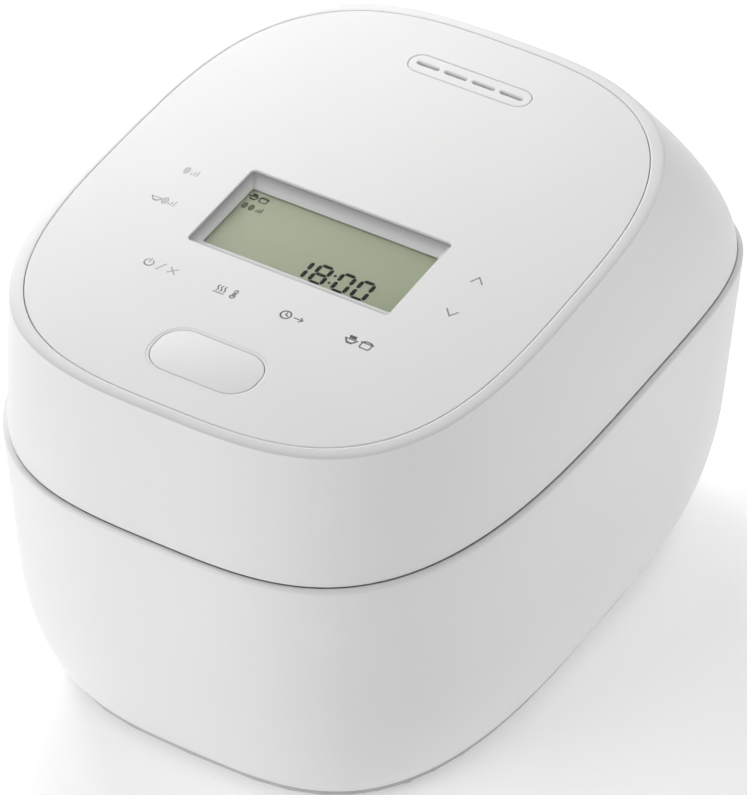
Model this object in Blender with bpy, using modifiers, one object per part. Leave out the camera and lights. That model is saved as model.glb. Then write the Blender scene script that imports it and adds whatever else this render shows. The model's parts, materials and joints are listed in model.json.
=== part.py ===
"""Induction rice cooker with a hinged lid, modelled as an assembly of separate pieces.

Metres, +Z up. The origin is under the middle of the body, level with the bottom of its
feet. The front (open button) faces -Y and the lid hinge is at the back, along X.
"""
import math

import bpy
import bmesh
from mathutils import Matrix

# ---- driving dimensions -------------------------------------------------------------
COLUMNS = 48                     # points round every casing outline
TURNED_STEPS = 36                # facets round the pot and its rings

GAP = 0.0003                     # clearance between pieces that touch
RUNNING_GAP = 0.0003             # clearance round pins and sliding pieces
SEAM_GAP = 0.0007                # joint line between body and lid

# Lid outline at the seam with the body: half width, lengths in front of and behind
# its widest line, and how square each end is.
LID_HALF_WIDTH = 0.1320
LID_FRONT = 0.2146
LID_REAR = 0.1362
LID_FRONT_POWER = 3.28
LID_REAR_POWER = 4.43
WIDEST_Y = 0.0392
SEAM_Z = 0.1548

# Body: stands a little proud of the lid, leans in downwards and rounds under.
BODY_PROUD = 0.0024
BODY_WALL = 0.0020
BODY_EDGE_RADIUS = 0.0024
SIDE_DRAFT = 0.0177
FRONT_DRAFT = 0.0777
UNDER_RADIUS_FLAT = 0.0252
UNDER_RADIUS_TALL = 0.0738
BOTTOM_POWER = 3.28
CASE_RINGS = (0.0140, 0.0220, 0.0330, 0.0480)   # heights of the rings round the underside's curve
CASE_WAIST = 0.1150              # ring half way up the straight wall

# Top plate: outline, height above the seam and rise towards the back.
PLATE_HALF_WIDTH = 0.1170
PLATE_FRONT = 0.1513
PLATE_REAR = 0.1415
PLATE_FRONT_POWER = 3.21
PLATE_REAR_POWER = 3.00
PLATE_Y = -0.0121
PLATE_RISE = 0.0775              # plate above the seam, over the origin
PLATE_SLOPE = 0.0419
PLATE_THICKNESS = 0.0025
LID_WALL = 0.0022
RIM_WIDTH = 0.0061
RIM_DROP = 0.0013
LEDGE_WIDTH = 0.0050
SHOULDER_POWER = 1.5             # roundness of the lid wall between rim and seam

# Feet, base plate and fasteners
FOOT_RADIUS = 0.0090
FOOT_HEIGHT = 0.0042
FOOT_STEM_RADIUS = 0.0030
FOOT_INSET = 0.0240
BASE_THICKNESS = 0.0030
BASE_INSET = 0.0010
SCREW_RADIUS = 0.0015
SCREW_HEAD_RADIUS = 0.0032
SCREW_HEAD_HEIGHT = 0.0020
SCREW_LENGTH = 0.0130
BOSS_RADIUS = 0.0045
BOSS_HEIGHT = 0.0150
BOSS_INSET = 0.0025
FOOT_STEM_TOP = 0.0010           # stem above the base plate
FOOT_CHAMFER = 0.0008

# Pot and what surrounds it
POT_Y = -0.0250
POT_RADIUS = 0.0955
POT_WALL = 0.0030
POT_BOTTOM_Z = 0.0462
POT_CORNER = 0.0260
POT_FLANGE_RADIUS = 0.1040
POT_FLANGE_THICKNESS = 0.0020
FRAME_THICKNESS = 0.0030
FRAME_DEPTH = 0.0048             # top of the frame below the seam
FRAME_HOLE_MARGIN = 0.0045
CUP_GAP = 0.0015                 # pot to its protective cup
CUP_WALL = 0.0020
CUP_FLANGE_RADIUS = 0.1060
CUP_BOTTOM_DROP = 0.0027
SIDE_COIL_WIDTH = 0.0050
SIDE_COIL_Z = 0.0600
SIDE_COIL_HEIGHT = 0.0300
BOTTOM_COIL_INNER = 0.0300
BOTTOM_COIL_OUTER = 0.0850
BOTTOM_COIL_THICKNESS = 0.0050
COIL_GAP = 0.0017
HOLDER_INNER = 0.0260
HOLDER_OUTER = 0.0900
HOLDER_THICKNESS = 0.0038
FERRITE_SIZE = (0.0480, 0.0100, 0.0050)
FERRITE_RADIUS = 0.0570
FERRITE_COUNT = 4
SENSOR_RADIUS = 0.0115
SENSOR_CAP = 0.0027
SENSOR_STEM_RADIUS = 0.0080
SENSOR_STEM_LENGTH = 0.0160
SENSOR_TRAVEL = 0.0030
GUIDE_WALL = 0.0020
GUIDE_DEPTH = 0.0200
GUIDE_BORE = 0.0020              # wire hole in the guide's floor, radius
SENSOR_HOLE_GAP = 0.0010         # sensor to the hole in the cup's floor
SENSOR_COIL_INSET = 0.0020       # spring inside the sensor's stem radius

# Electronics and fan behind the pot
BOARD_THICKNESS = 0.0016
POWER_BOARD_SIZE = (0.1400, 0.0800)
POWER_BOARD_BEHIND = 0.0165      # from the side coil to the board
POWER_BOARD_Z = 0.0400
SINK_SIZE = (0.0600, 0.0240, 0.0460)
SINK_FINS = 6
SINK_FIN = 0.0024
SINK_BASE = 0.0050
CAPACITOR_RADIUS = 0.0100
CAPACITOR_LENGTH = 0.0240
CHOKE_RADIUS = 0.0120
CHOKE_LENGTH = 0.0150
FAN_SIZE = 0.0480
FAN_DEPTH = 0.0150
FAN_BORE = 0.0225
FAN_BLADES = 7
FAN_HUB = 0.0090
FAN_TIP_GAP = 0.0010
FAN_CORNER = 0.0030
FAN_ROTOR_INSET = 0.0015         # rotor below the housing's faces
FAN_BLADE = (0.0012, 0.0080)     # thickness and width
FAN_BLADE_LEAN = 40              # degrees
FAN_BLADE_ROOT = 0.0006          # blade sunk into the hub
FAN_FROM_REAR = 0.0330           # fan centre in front of the base plate's rear edge
VENT_COUNT = 5
VENT_PITCH = 0.0070
VENT_SIZE = (0.0340, 0.0030)
CORD_HOLE_RADIUS = 0.0115
CORD_BORE_RADIUS = 0.0080
CORD_X = -0.0620
CORD_Z = 0.0450
CORD_SLEEVE_LENGTH = 0.0200
CORD_SLEEVE_PROUD = 0.0015       # sleeve outside the wall
CHOKE_INSET = 0.0040             # choke coil tucked behind the heat sink's end

# Hinge
HINGE_HEIGHT = 0.0124            # axis above the seam
HINGE_SETBACK = 0.0115           # axis in front of the lid's rearmost line
PIN_RADIUS = 0.0020
PIN_HALF_LENGTH = 0.0415
KNUCKLE_RADIUS = 0.0050
ARM_X = 0.0315
ARM_THICKNESS = 0.0040
BRACKET_X = 0.0370
BRACKET_THICKNESS = 0.0050
BRACKET_FOOT_LENGTH = 0.0105
BRACKET_TOE_HEIGHT = 0.0055
ARM_LENGTH = 0.0230
ARM_TIP_RAISE = 0.0030           # top of the arm's far end above the axis
SPRING_COIL_RADIUS = 0.0037
SPRING_WIRE = 0.0006
SPRING_SPAN = (0.0110, 0.0280)
SPRING_TURNS = 4
SKIRT_WALL = 0.0015
SKIRT_GAP = 0.0003               # skirt inside the lid's swing radius
SKIRT_START = -28                # degrees below the axis, from the back
SKIRT_END = -100
SKIRT_SIDE_GAP = 0.0010          # skirt to the brackets

# Under the lid
COVER_RAISE = 0.0052             # underside of the lower cover above the seam
COVER_THICKNESS = 0.0025
COVER_SIDE_GAP = 0.0013          # lower cover to the lid wall
COVER_REAR_GAP = 0.0220          # lower cover's rear edge in front of the hinge axis
INNER_LID_RADIUS = 0.0985
INNER_LID_THICKNESS = 0.0014
INNER_LID_RAISE = 0.0018
GASKET_OUTER = 0.1030
GASKET_LIP = 0.0955
GASKET_LIP_THICKNESS = 0.0024
HEATER_RADIUS = 0.0880
HEATER_THICKNESS = 0.0010
INNER_LID_EDGE = (0.0025, 0.0006)        # dished edge of the inner lid: width, drop
STEAM_Y = 0.0450
STEAM_BORE = 0.0085
STEAM_TUBE_WALL = 0.0020
STEAM_TRAY_DEPTH = 0.0340
STEAM_TRAY_WALL = 0.0018
STEAM_TRAY_FRONT_MARGIN = 0.0130
STEAM_TRAY_REAR_MARGIN = 0.0065

# Controls on the top plate
WINDOW_SIZE = (0.1064, 0.0566)
WINDOW_CORNER = 0.0025
WINDOW_Y = -0.0361
WINDOW_THICKNESS = 0.0012
LCD_VIEW = (0.0990, 0.0440)
LCD_DEPTH = 0.0055
LCD_SIZE = (0.1040, 0.0500, 0.0024)
BEZEL_LIP = 0.0014
CONTROL_BOARD_SIZE = (0.1400, 0.0960)
CONTROL_BOARD_DEPTH = 0.0200
BATTERY_RADIUS = 0.0115
BATTERY_HEIGHT = 0.0050
BUTTON_SIZE = (0.0548, 0.0296)
BUTTON_CORNER = 0.0130
BUTTON_Y = -0.1301
BUTTON_THICKNESS = 0.0050
BUTTON_STEM_SHIFT = -0.0024       # stem in front of the button's centre
BUTTON_PLAY = 0.0012             # stem to hook with the button up
BUTTON_STEM_RADIUS = 0.0035
BUTTON_CUP_DEPTH = 0.0150
BUTTON_CUP_WALL = 0.0015
BUTTON_CUP_MARGIN = 0.0030
BUTTON_HOLE_GAP = 0.0015         # stem to the hole in the cup's floor
BUTTON_COIL_GAP = 0.0025         # stem to the middle of the spring's wire
STEAM_CAP_SIZE = (0.0650, 0.0130)
STEAM_CAP_Y = 0.0972
STEAM_CAP_THICKNESS = 0.0030
STEAM_SLOT = (0.0115, 0.0016)
STEAM_SLOT_CORNER = 0.0007
STEAM_SLOT_PITCH = 0.0150
STEAM_SLOTS = 4
STEAM_TRAY_SIDE_MARGIN = 0.0020
STEAM_MOUTH_MARGIN = (0.0025, 0.0020)    # tray's mouth inside the cap, each side
STEAM_INLET_GAP = 0.0010         # packing to the tray's inlet
STEAM_TRAY_CUT = 0.0100          # how deep the tray's openings are cut

# Latch
LATCH_PIVOT_FROM_BUTTON = 0.0179  # pivot in front of the button's centre
LATCH_PIVOT_RAISE = 0.0272        # pivot above the seam
LATCH_WIDTH = 0.0140
LATCH_ARM = 0.0040
LATCH_REACH = 0.0180
LATCH_TIP_DEPTH = 0.0103          # tip below the seam
LATCH_TOOTH = 0.0030
LATCH_TOOTH_HEIGHT = 0.0030
HOOK_HUB = 0.0045                # half width of the hook round its pivot
HOOK_SHOULDER = 0.0060           # top of the hub above the pivot
HOOK_TOP = 0.0095                # top of the arm under the button, above the pivot
HOOK_ARM_DEPTH = 0.0033
LATCH_PIN_RADIUS = 0.0015
LATCH_PIN_HALF_LENGTH = 0.0150
LATCH_EAR_X = 0.0110
LATCH_EAR_THICKNESS = 0.0030
LATCH_EAR_WIDTH = 0.0100
LATCH_EAR_TOP = 0.0050           # ear above the pivot
LATCH_EAR_ROOT = 0.0010          # ear sunk into the lower cover
LATCH_SLOT_MARGIN = 0.0020       # hook to the slot in the cover, each side
LATCH_SLOT_LENGTH = 0.0140
LATCH_SLOT_SHIFT = 0.0022        # slot in front of the pivot
LATCH_SLOT_CORNER = 0.0020
CATCH_GAP = 0.0025
CATCH_SIZE = (0.0240, 0.0060, 0.0050)
LATCH_WINDOW = (0.0200, 0.0250)
LATCH_WINDOW_CORNER = 0.0020
LATCH_WINDOW_GAP = 0.0008        # window's rear edge in front of the catch

# ---- levels and places worked out from them -----------------------------------------
BASE_Z = FOOT_HEIGHT + GAP
BASE_TOP = BASE_Z + BASE_THICKNESS
CASE_BOTTOM = BASE_TOP + GAP
CASE_TOP = SEAM_Z - SEAM_GAP / 2
LID_BOTTOM = SEAM_Z + SEAM_GAP / 2
PLATE_Z = SEAM_Z + PLATE_RISE
FRAME_TOP = SEAM_Z - FRAME_DEPTH
FRAME_BOTTOM = FRAME_TOP - FRAME_THICKNESS
FLANGE_TOP = FRAME_TOP + GAP + POT_FLANGE_THICKNESS
CUP_INNER = POT_RADIUS + CUP_GAP
CUP_OUTER = CUP_INNER + CUP_WALL
CUP_TOP = FRAME_BOTTOM - GAP
CUP_FLOOR = POT_BOTTOM_Z - CUP_BOTTOM_DROP
CUP_UNDERSIDE = CUP_FLOOR - CUP_WALL
COIL_TOP = CUP_UNDERSIDE - COIL_GAP
HOLDER_TOP = COIL_TOP - BOTTOM_COIL_THICKNESS - GAP
HOLDER_BOTTOM = HOLDER_TOP - HOLDER_THICKNESS
SIDE_COIL_INNER = CUP_OUTER + GAP
SIDE_COIL_OUTER = SIDE_COIL_INNER + SIDE_COIL_WIDTH
POWER_BOARD_Y = POT_Y + SIDE_COIL_OUTER + POWER_BOARD_BEHIND
HINGE_Y = WIDEST_Y + LID_REAR - HINGE_SETBACK
HINGE_Z = SEAM_Z + HINGE_HEIGHT
HINGE_SWEEP = HINGE_Z - LID_BOTTOM
COVER_BOTTOM = SEAM_Z + COVER_RAISE
COVER_TOP = COVER_BOTTOM + COVER_THICKNESS
COVER_REAR_Y = HINGE_Y - COVER_REAR_GAP
INNER_LID_BOTTOM = SEAM_Z + INNER_LID_RAISE
INNER_LID_TOP = INNER_LID_BOTTOM + INNER_LID_THICKNESS
HEATER_BOTTOM = INNER_LID_TOP + GAP
LATCH_Y = BUTTON_Y - LATCH_PIVOT_FROM_BUTTON
LATCH_Z = SEAM_Z + LATCH_PIVOT_RAISE
LATCH_TIP = SEAM_Z - LATCH_TIP_DEPTH - LATCH_Z
CATCH_FRONT_Y = LATCH_Y + LATCH_ARM / 2 + LATCH_TOOTH + CATCH_GAP
STEAM_TUBE_RADIUS = STEAM_BORE + STEAM_TUBE_WALL

for old in list(bpy.data.objects):
    bpy.data.objects.remove(old, do_unlink=True)

PARTS = bpy.data.collections.new("rice_cooker")
CUTTERS = bpy.data.collections.new("cutters")
bpy.context.scene.collection.children.link(PARTS)
bpy.context.scene.collection.children.link(CUTTERS)


# ---- materials ----------------------------------------------------------------------
def material(name, colour, roughness, metallic=0.0):
    made = bpy.data.materials.new(name)
    made.use_nodes = True
    shader = made.node_tree.nodes["Principled BSDF"]
    shader.inputs["Base Color"].default_value = (*colour, 1.0)
    shader.inputs["Roughness"].default_value = roughness
    shader.inputs["Metallic"].default_value = metallic
    return made


FINISHES = {
    "white": ((0.86, 0.86, 0.85), 0.42, 0.0),
    "plate": ((0.88, 0.88, 0.87), 0.38, 0.0),
    "grey": ((0.55, 0.56, 0.57), 0.50, 0.0),
    "dark": ((0.06, 0.06, 0.065), 0.55, 0.0),
    "rubber": ((0.05, 0.05, 0.05), 0.80, 0.0),
    "steel": ((0.62, 0.62, 0.63), 0.30, 1.0),
    "aluminium": ((0.80, 0.81, 0.82), 0.35, 1.0),
    "coated": ((0.08, 0.08, 0.09), 0.35, 0.3),
    "copper": ((0.72, 0.38, 0.20), 0.35, 1.0),
    "ferrite": ((0.09, 0.09, 0.10), 0.70, 0.0),
    "board": ((0.10, 0.26, 0.14), 0.50, 0.0),
    "silicone": ((0.72, 0.73, 0.74), 0.60, 0.0),
    "lcd": ((0.39, 0.43, 0.30), 0.30, 0.0),
    "clear": ((0.90, 0.92, 0.92), 0.10, 0.0),
    "bezel": ((0.72, 0.73, 0.73), 0.45, 0.0),
}


# ---- makers -------------------------------------------------------------------------
def finish(obj, look, smooth=True):
    """Gives a piece its own material and, on a mesh, smooth faces with sharp edges."""
    obj.data.materials.clear()
    obj.data.materials.append(material(obj.name + "_" + look, *FINISHES[look]))
    if smooth and obj.type == "MESH":
        obj.data.shade_smooth()
        obj.data.set_sharp_from_angle(angle=math.radians(35))
    return obj


def add_object(name, data, look=None, collection=PARTS):
    obj = bpy.data.objects.new(name, data)
    collection.objects.link(obj)
    if look:
        finish(obj, look)
    return obj


def mesh_from(name, bm):
    data = bpy.data.meshes.new(name)
    bm.to_mesh(data)
    bm.free()
    return data


def box(name, size, centre, look=None, collection=PARTS):
    bm = bmesh.new()
    bmesh.ops.create_cube(bm, size=1.0)
    bmesh.ops.scale(bm, vec=size, verts=bm.verts)
    obj = add_object(name, mesh_from(name, bm), look, collection)
    obj.location = centre
    return obj


def cylinder(name, radius, length, centre, axis="Z", look=None, collection=PARTS, segments=24):
    """A rod, centred on a point and lying along one axis."""
    bm = bmesh.new()
    bmesh.ops.create_cone(bm, cap_ends=True, segments=segments,
                          radius1=radius, radius2=radius, depth=length)
    turn = {"X": Matrix.Rotation(math.pi / 2, 4, "Y"),
            "Y": Matrix.Rotation(math.pi / 2, 4, "X"), "Z": Matrix.Identity(4)}[axis]
    bmesh.ops.transform(bm, matrix=turn, verts=bm.verts)
    obj = add_object(name, mesh_from(name, bm), look, collection)
    obj.location = centre
    return obj


def cutter(obj):
    obj.hide_render = True
    obj.display_type = "WIRE"
    return obj


def cut_box(name, size, centre):
    return cutter(box(name + "_cutter", size, centre, collection=CUTTERS))


def cut_cylinder(name, radius, length, centre, axis="Z", segments=24):
    return cutter(cylinder(name + "_cutter", radius, length, centre, axis,
                           collection=CUTTERS, segments=segments))


def combine(target, tool, operation="DIFFERENCE"):
    step = target.modifiers.new(tool.name, "BOOLEAN")
    step.operation = operation
    step.solver = "EXACT"
    step.object = tool
    return target


def turned(name, section, centre, look, steps=TURNED_STEPS):
    """Turns a section of (radius, height) points, listed clockwise: down the outer side."""
    data = bpy.data.meshes.new(name)
    open_at_axis = section[0][0] == 0 and section[-1][0] == 0
    edges = [(i, i + 1) for i in range(len(section) - 1)]
    if not open_at_axis:
        edges.append((len(section) - 1, 0))
    data.from_pydata([(r, 0.0, z) for r, z in section], edges, [])
    obj = add_object(name, data)
    spin = obj.modifiers.new("turn", "SCREW")
    spin.steps = spin.render_steps = steps
    spin.use_merge_vertices = True
    spin.merge_threshold = 1e-6
    spin.use_smooth_shade = True
    obj.location = centre
    return finish(obj, look, smooth=False)


def ring_section(inner, outer, bottom, top):
    return [(inner, top), (outer, top), (outer, bottom), (inner, bottom)]


def flat(name, outlines, thickness, bottom, look):
    """A plate cut to a closed outline of (x, y) points, with holes by further outlines."""
    data = bpy.data.curves.new(name, "CURVE")
    data.dimensions = "2D"
    data.fill_mode = "BOTH"
    data.extrude = thickness / 2
    for points in outlines:
        spline = data.splines.new("POLY")
        spline.points.add(len(points) - 1)
        for place, (x, y) in zip(spline.points, points):
            place.co = (x, y, 0.0, 1.0)
        spline.use_cyclic_u = True
    obj = add_object(name, data, look)
    obj.location = (0.0, 0.0, bottom + thickness / 2)
    return obj


def to_mesh(obj):
    """A curve turned into a welded mesh, so that it can be cut."""
    bpy.context.view_layer.update()
    evaluated = obj.evaluated_get(bpy.context.evaluated_depsgraph_get())
    data = bpy.data.meshes.new_from_object(evaluated)
    bm = bmesh.new()
    bm.from_mesh(data)
    bmesh.ops.remove_doubles(bm, verts=bm.verts, dist=1e-6)
    bm.to_mesh(data)
    bm.free()
    made = bpy.data.objects.new(obj.name + "_mesh", data)
    PARTS.objects.link(made)
    made.matrix_world = obj.matrix_world.copy()
    name = obj.name
    bpy.data.objects.remove(obj, do_unlink=True)
    made.name = name
    return made


def upright(name, outlines, thickness, centre, look):
    """A plate whose outline of (y, z) points stands in the YZ plane, centred on a point."""
    obj = to_mesh(flat(name, outlines, thickness, -thickness / 2, look))
    stand = Matrix(((0, 0, 1), (1, 0, 0), (0, 1, 0))).to_4x4()
    obj.data.transform(stand)
    obj.location = centre
    return obj


def loft(name, rings, look, closed=False):
    """A surface through rings of equal point counts, each anticlockwise seen from +Z."""
    bm = bmesh.new()
    loops = [[bm.verts.new(p) for p in ring] for ring in rings]
    pairs = list(zip(loops, loops[1:]))
    if closed:
        pairs.append((loops[-1], loops[0]))
    for upper, lower in pairs:
        count = len(upper)
        for i in range(count):
            j = (i + 1) % count
            bm.faces.new((upper[i], lower[i], lower[j], upper[j]))
    return add_object(name, mesh_from(name, bm), look)


def thicken(obj, wall):
    """Gives an open surface its wall, on the side away from its normals."""
    shell = obj.modifiers.new("wall", "SOLIDIFY")
    shell.thickness = wall
    shell.offset = -1.0
    return obj


def spring(name, radius, wire, length, turns, centre, axis, look="steel"):
    """A coil of round wire along X or Z, from its centre point."""
    per_turn = 8
    data = bpy.data.curves.new(name, "CURVE")
    data.dimensions = "3D"
    data.bevel_depth = wire
    data.bevel_resolution = 1
    data.use_fill_caps = True
    spline = data.splines.new("POLY")
    count = turns * per_turn + 1
    spline.points.add(count - 1)
    for i, place in enumerate(spline.points):
        angle = 2 * math.pi * i / per_turn
        along = length * (i / (count - 1) - 0.5)
        around = (radius * math.cos(angle), radius * math.sin(angle))
        place.co = (along, *around, 1.0) if axis == "X" else (*around, along, 1.0)
    obj = add_object(name, data, look)
    obj.location = centre
    return obj


# ---- outlines -----------------------------------------------------------------------
def outline(half_width, front, rear, front_power, rear_power, middle_y, inset=0.0):
    """Rounded casing outline, anticlockwise from +X; its two ends have their own shape."""
    points = []
    for i in range(COLUMNS):
        angle = 2 * math.pi * i / COLUMNS
        c, s = math.cos(angle), math.sin(angle)
        if s < 0:
            power, length = front_power, front
        else:
            power, length = rear_power, rear
        x = (half_width - inset) * math.copysign(abs(c) ** (2 / power), c)
        y = (length - inset) * math.copysign(abs(s) ** (2 / power), s)
        points.append((x, middle_y + y))
    return points


def lid_outline(inset=0.0):
    return outline(LID_HALF_WIDTH, LID_FRONT, LID_REAR, LID_FRONT_POWER, LID_REAR_POWER,
                   WIDEST_Y, inset)


def plate_outline(inset=0.0):
    return outline(PLATE_HALF_WIDTH, PLATE_FRONT, PLATE_REAR, PLATE_FRONT_POWER,
                   PLATE_REAR_POWER, PLATE_Y, inset)


def body_outline(z, inset=0.0):
    """The body's outside at height z: drafted sides, rounding under towards the base."""
    below = SEAM_Z - z
    under = 0.0
    if z < UNDER_RADIUS_TALL:
        reach = (UNDER_RADIUS_TALL - z) / UNDER_RADIUS_TALL
        under = UNDER_RADIUS_FLAT * (1 - math.sqrt(1 - reach ** 2))
    share = z / SEAM_Z
    front_power = BOTTOM_POWER + (LID_FRONT_POWER - BOTTOM_POWER) * share
    rear_power = BOTTOM_POWER + (LID_REAR_POWER - BOTTOM_POWER) * share
    side = BODY_PROUD - SIDE_DRAFT * below - under
    return outline(LID_HALF_WIDTH + side, LID_FRONT + BODY_PROUD - FRONT_DRAFT * below - under,
                   LID_REAR + side, front_power, rear_power, WIDEST_Y, inset)


def corner_point(points, x_side, y_side):
    """The outline's point at one of its four corners, by the signs of x and y."""
    eighth = COLUMNS // 8
    index = {(1, 1): eighth, (-1, 1): 3 * eighth, (-1, -1): 5 * eighth, (1, -1): 7 * eighth}
    return points[index[(x_side, y_side)]]


def rounded_rectangle(size, radius, centre=(0.0, 0.0), arc_points=6):
    """Anticlockwise outline with round corners; the radius may be half the short side."""
    half_x, half_y = size[0] / 2, size[1] / 2
    points = []
    for turn, (sx, sy) in enumerate(((1, 1), (-1, 1), (-1, -1), (1, -1))):
        for i in range(arc_points):
            angle = math.pi / 2 * (turn + i / (arc_points - 1))
            points.append((centre[0] + sx * (half_x - radius) + radius * math.cos(angle),
                           centre[1] + sy * (half_y - radius) + radius * math.sin(angle)))
    return points


def circle(radius, centre, count=24):
    return [(centre[0] + radius * math.cos(2 * math.pi * i / count),
             centre[1] + radius * math.sin(2 * math.pi * i / count)) for i in range(count)]


def at_height(points, z):
    return [(x, y, z) for x, y in points]


def on_deck(points, below):
    """Outline points lifted to the sloping plane of the top plate, less a depth."""
    return [(x, y, PLATE_Z + PLATE_SLOPE * y - below) for x, y in points]


# ---- lid frame: the hinge axis, and the sloping plane of the top plate ----------------
lid_hinge = bpy.data.objects.new("lid_hinge", None)
lid_hinge.location = (0.0, HINGE_Y, HINGE_Z)
lid_deck = bpy.data.objects.new("lid_deck", None)
lid_deck.location = (0.0, 0.0, PLATE_Z)
lid_deck.rotation_euler = (math.atan(PLATE_SLOPE), 0.0, 0.0)
for frame_empty in (lid_hinge, lid_deck):
    PARTS.objects.link(frame_empty)
bpy.context.view_layer.update()


def carry(obj, parent):
    """Parents a piece that already stands in place."""
    bpy.context.view_layer.update()
    place = obj.matrix_world.copy()
    obj.parent = parent
    obj.matrix_world = place
    return obj


carry(lid_deck, lid_hinge)


def deck(obj):
    """Parents a piece whose own place is given in the top plate's plane."""
    bpy.context.view_layer.update()
    obj.parent = lid_deck
    return obj


# ---- outer case ---------------------------------------------------------------------
case_levels = [CASE_BOTTOM, *CASE_RINGS, UNDER_RADIUS_TALL, CASE_WAIST]
case_rings = [at_height(body_outline(CASE_TOP, BODY_EDGE_RADIUS), CASE_TOP)]
for turn in (math.radians(45), 0.0):
    edge_z = CASE_TOP - BODY_EDGE_RADIUS * (1 - math.sin(turn))
    edge_inset = BODY_EDGE_RADIUS * (1 - math.cos(turn))
    case_rings.append(at_height(body_outline(edge_z, edge_inset), edge_z))
for level in reversed(case_levels):
    case_rings.append(at_height(body_outline(level), level))
outer_case = thicken(loft("outer_case", case_rings, "white"), BODY_WALL)

bottom_line = body_outline(CASE_BOTTOM)
corners = ((1, -1, "front_right"), (-1, -1, "front_left"), (1, 1, "rear_right"), (-1, 1, "rear_left"))
boss_line = body_outline(CASE_BOTTOM, BODY_WALL + BOSS_INSET)
screw_places = {word: corner_point(boss_line, sx, sy) for sx, sy, word in corners}
for word, (x, y) in screw_places.items():
    boss = cutter(cylinder("boss_" + word, BOSS_RADIUS, BOSS_HEIGHT,
                           (x, y, CASE_BOTTOM + BOSS_HEIGHT / 2), collection=CUTTERS))
    combine(outer_case, boss, "UNION")
for word, (x, y) in screw_places.items():
    combine(outer_case, cut_cylinder("boss_bore_" + word, SCREW_RADIUS + RUNNING_GAP,
                                     2 * BOSS_HEIGHT, (x, y, CASE_BOTTOM), segments=12))
cord_wall_y = max(y for x, y in body_outline(CORD_Z) if x <= CORD_X)
combine(outer_case, cut_cylinder("cord_hole", CORD_HOLE_RADIUS, 2 * CORD_SLEEVE_LENGTH,
                                 (CORD_X, cord_wall_y, CORD_Z), "Y"))

# ---- cord outlet sleeve -------------------------------------------------------------
sleeve_y = cord_wall_y - CORD_SLEEVE_LENGTH / 2 + CORD_SLEEVE_PROUD
cord_outlet = cylinder("cord_outlet", CORD_HOLE_RADIUS - GAP, CORD_SLEEVE_LENGTH,
                       (CORD_X, sleeve_y, CORD_Z), "Y", "grey")
combine(cord_outlet, cut_cylinder("cord_bore", CORD_BORE_RADIUS, 2 * CORD_SLEEVE_LENGTH,
                                  (CORD_X, cord_wall_y, CORD_Z), "Y"))

# ---- base plate, feet and screws ----------------------------------------------------
base_line = body_outline(CASE_BOTTOM, BASE_INSET)
fan_y = max(y for x, y in base_line) - FAN_FROM_REAR
foot_line = body_outline(CASE_BOTTOM, FOOT_INSET)
foot_places = {word: corner_point(foot_line, sx, sy) for sx, sy, word in corners}
base_holes = [circle(SCREW_RADIUS + RUNNING_GAP, place, 12) for place in screw_places.values()]
base_holes += [circle(FOOT_STEM_RADIUS + RUNNING_GAP, place, 12) for place in foot_places.values()]
for i in range(VENT_COUNT):
    vent_y = fan_y + VENT_PITCH * (i - (VENT_COUNT - 1) / 2)
    base_holes.append(rounded_rectangle(VENT_SIZE, VENT_SIZE[1] / 2, (0.0, vent_y), 3))
flat("base_plate", [base_line] + base_holes, BASE_THICKNESS, BASE_Z, "grey")

for word, (x, y) in foot_places.items():
    stem_top = BASE_TOP + FOOT_STEM_TOP
    foot_section = [(0.0, stem_top), (FOOT_STEM_RADIUS, stem_top),
                    (FOOT_STEM_RADIUS, FOOT_HEIGHT), (FOOT_RADIUS, FOOT_HEIGHT),
                    (FOOT_RADIUS, FOOT_CHAMFER), (FOOT_RADIUS - FOOT_CHAMFER, 0.0), (0.0, 0.0)]
    turned("foot_" + word, foot_section, (x, y, 0.0), "rubber", 20)

for word, (x, y) in screw_places.items():
    head_top = BASE_Z - GAP
    tip = BASE_Z + SCREW_LENGTH
    screw_section = [(0.0, tip), (SCREW_RADIUS, tip - SCREW_RADIUS), (SCREW_RADIUS, head_top),
                     (SCREW_HEAD_RADIUS, head_top), (SCREW_HEAD_RADIUS, head_top - SCREW_HEAD_HEIGHT),
                     (0.0, head_top - SCREW_HEAD_HEIGHT)]
    turned("base_screw_" + word, screw_section, (x, y, 0.0), "steel", 12)

# ---- top frame with the pot seat and the latch window --------------------------------
frame_line = body_outline(FRAME_BOTTOM, BODY_WALL + 2 * GAP)
window_middle = (0.0, CATCH_FRONT_Y - GAP - LATCH_WINDOW_GAP - LATCH_WINDOW[1] / 2)
flat("top_frame", [frame_line,
                   circle(POT_RADIUS + FRAME_HOLE_MARGIN, (0.0, POT_Y), TURNED_STEPS),
                   rounded_rectangle(LATCH_WINDOW, LATCH_WINDOW_CORNER, window_middle, 3)],
     FRAME_THICKNESS, FRAME_BOTTOM, "white")
box("latch_catch", CATCH_SIZE,
    (0.0, CATCH_FRONT_Y + CATCH_SIZE[1] / 2, FRAME_BOTTOM - GAP - CATCH_SIZE[2] / 2), "steel")

# ---- pot and cup --------------------------------------------------------------------
def arc(centre_r, centre_z, radius, start, end, count):
    """Section points along an arc, angles in degrees from +radius towards +Z."""
    return [(centre_r + radius * math.cos(math.radians(start + (end - start) * i / (count - 1))),
             centre_z + radius * math.sin(math.radians(start + (end - start) * i / (count - 1))))
            for i in range(count)]


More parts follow.
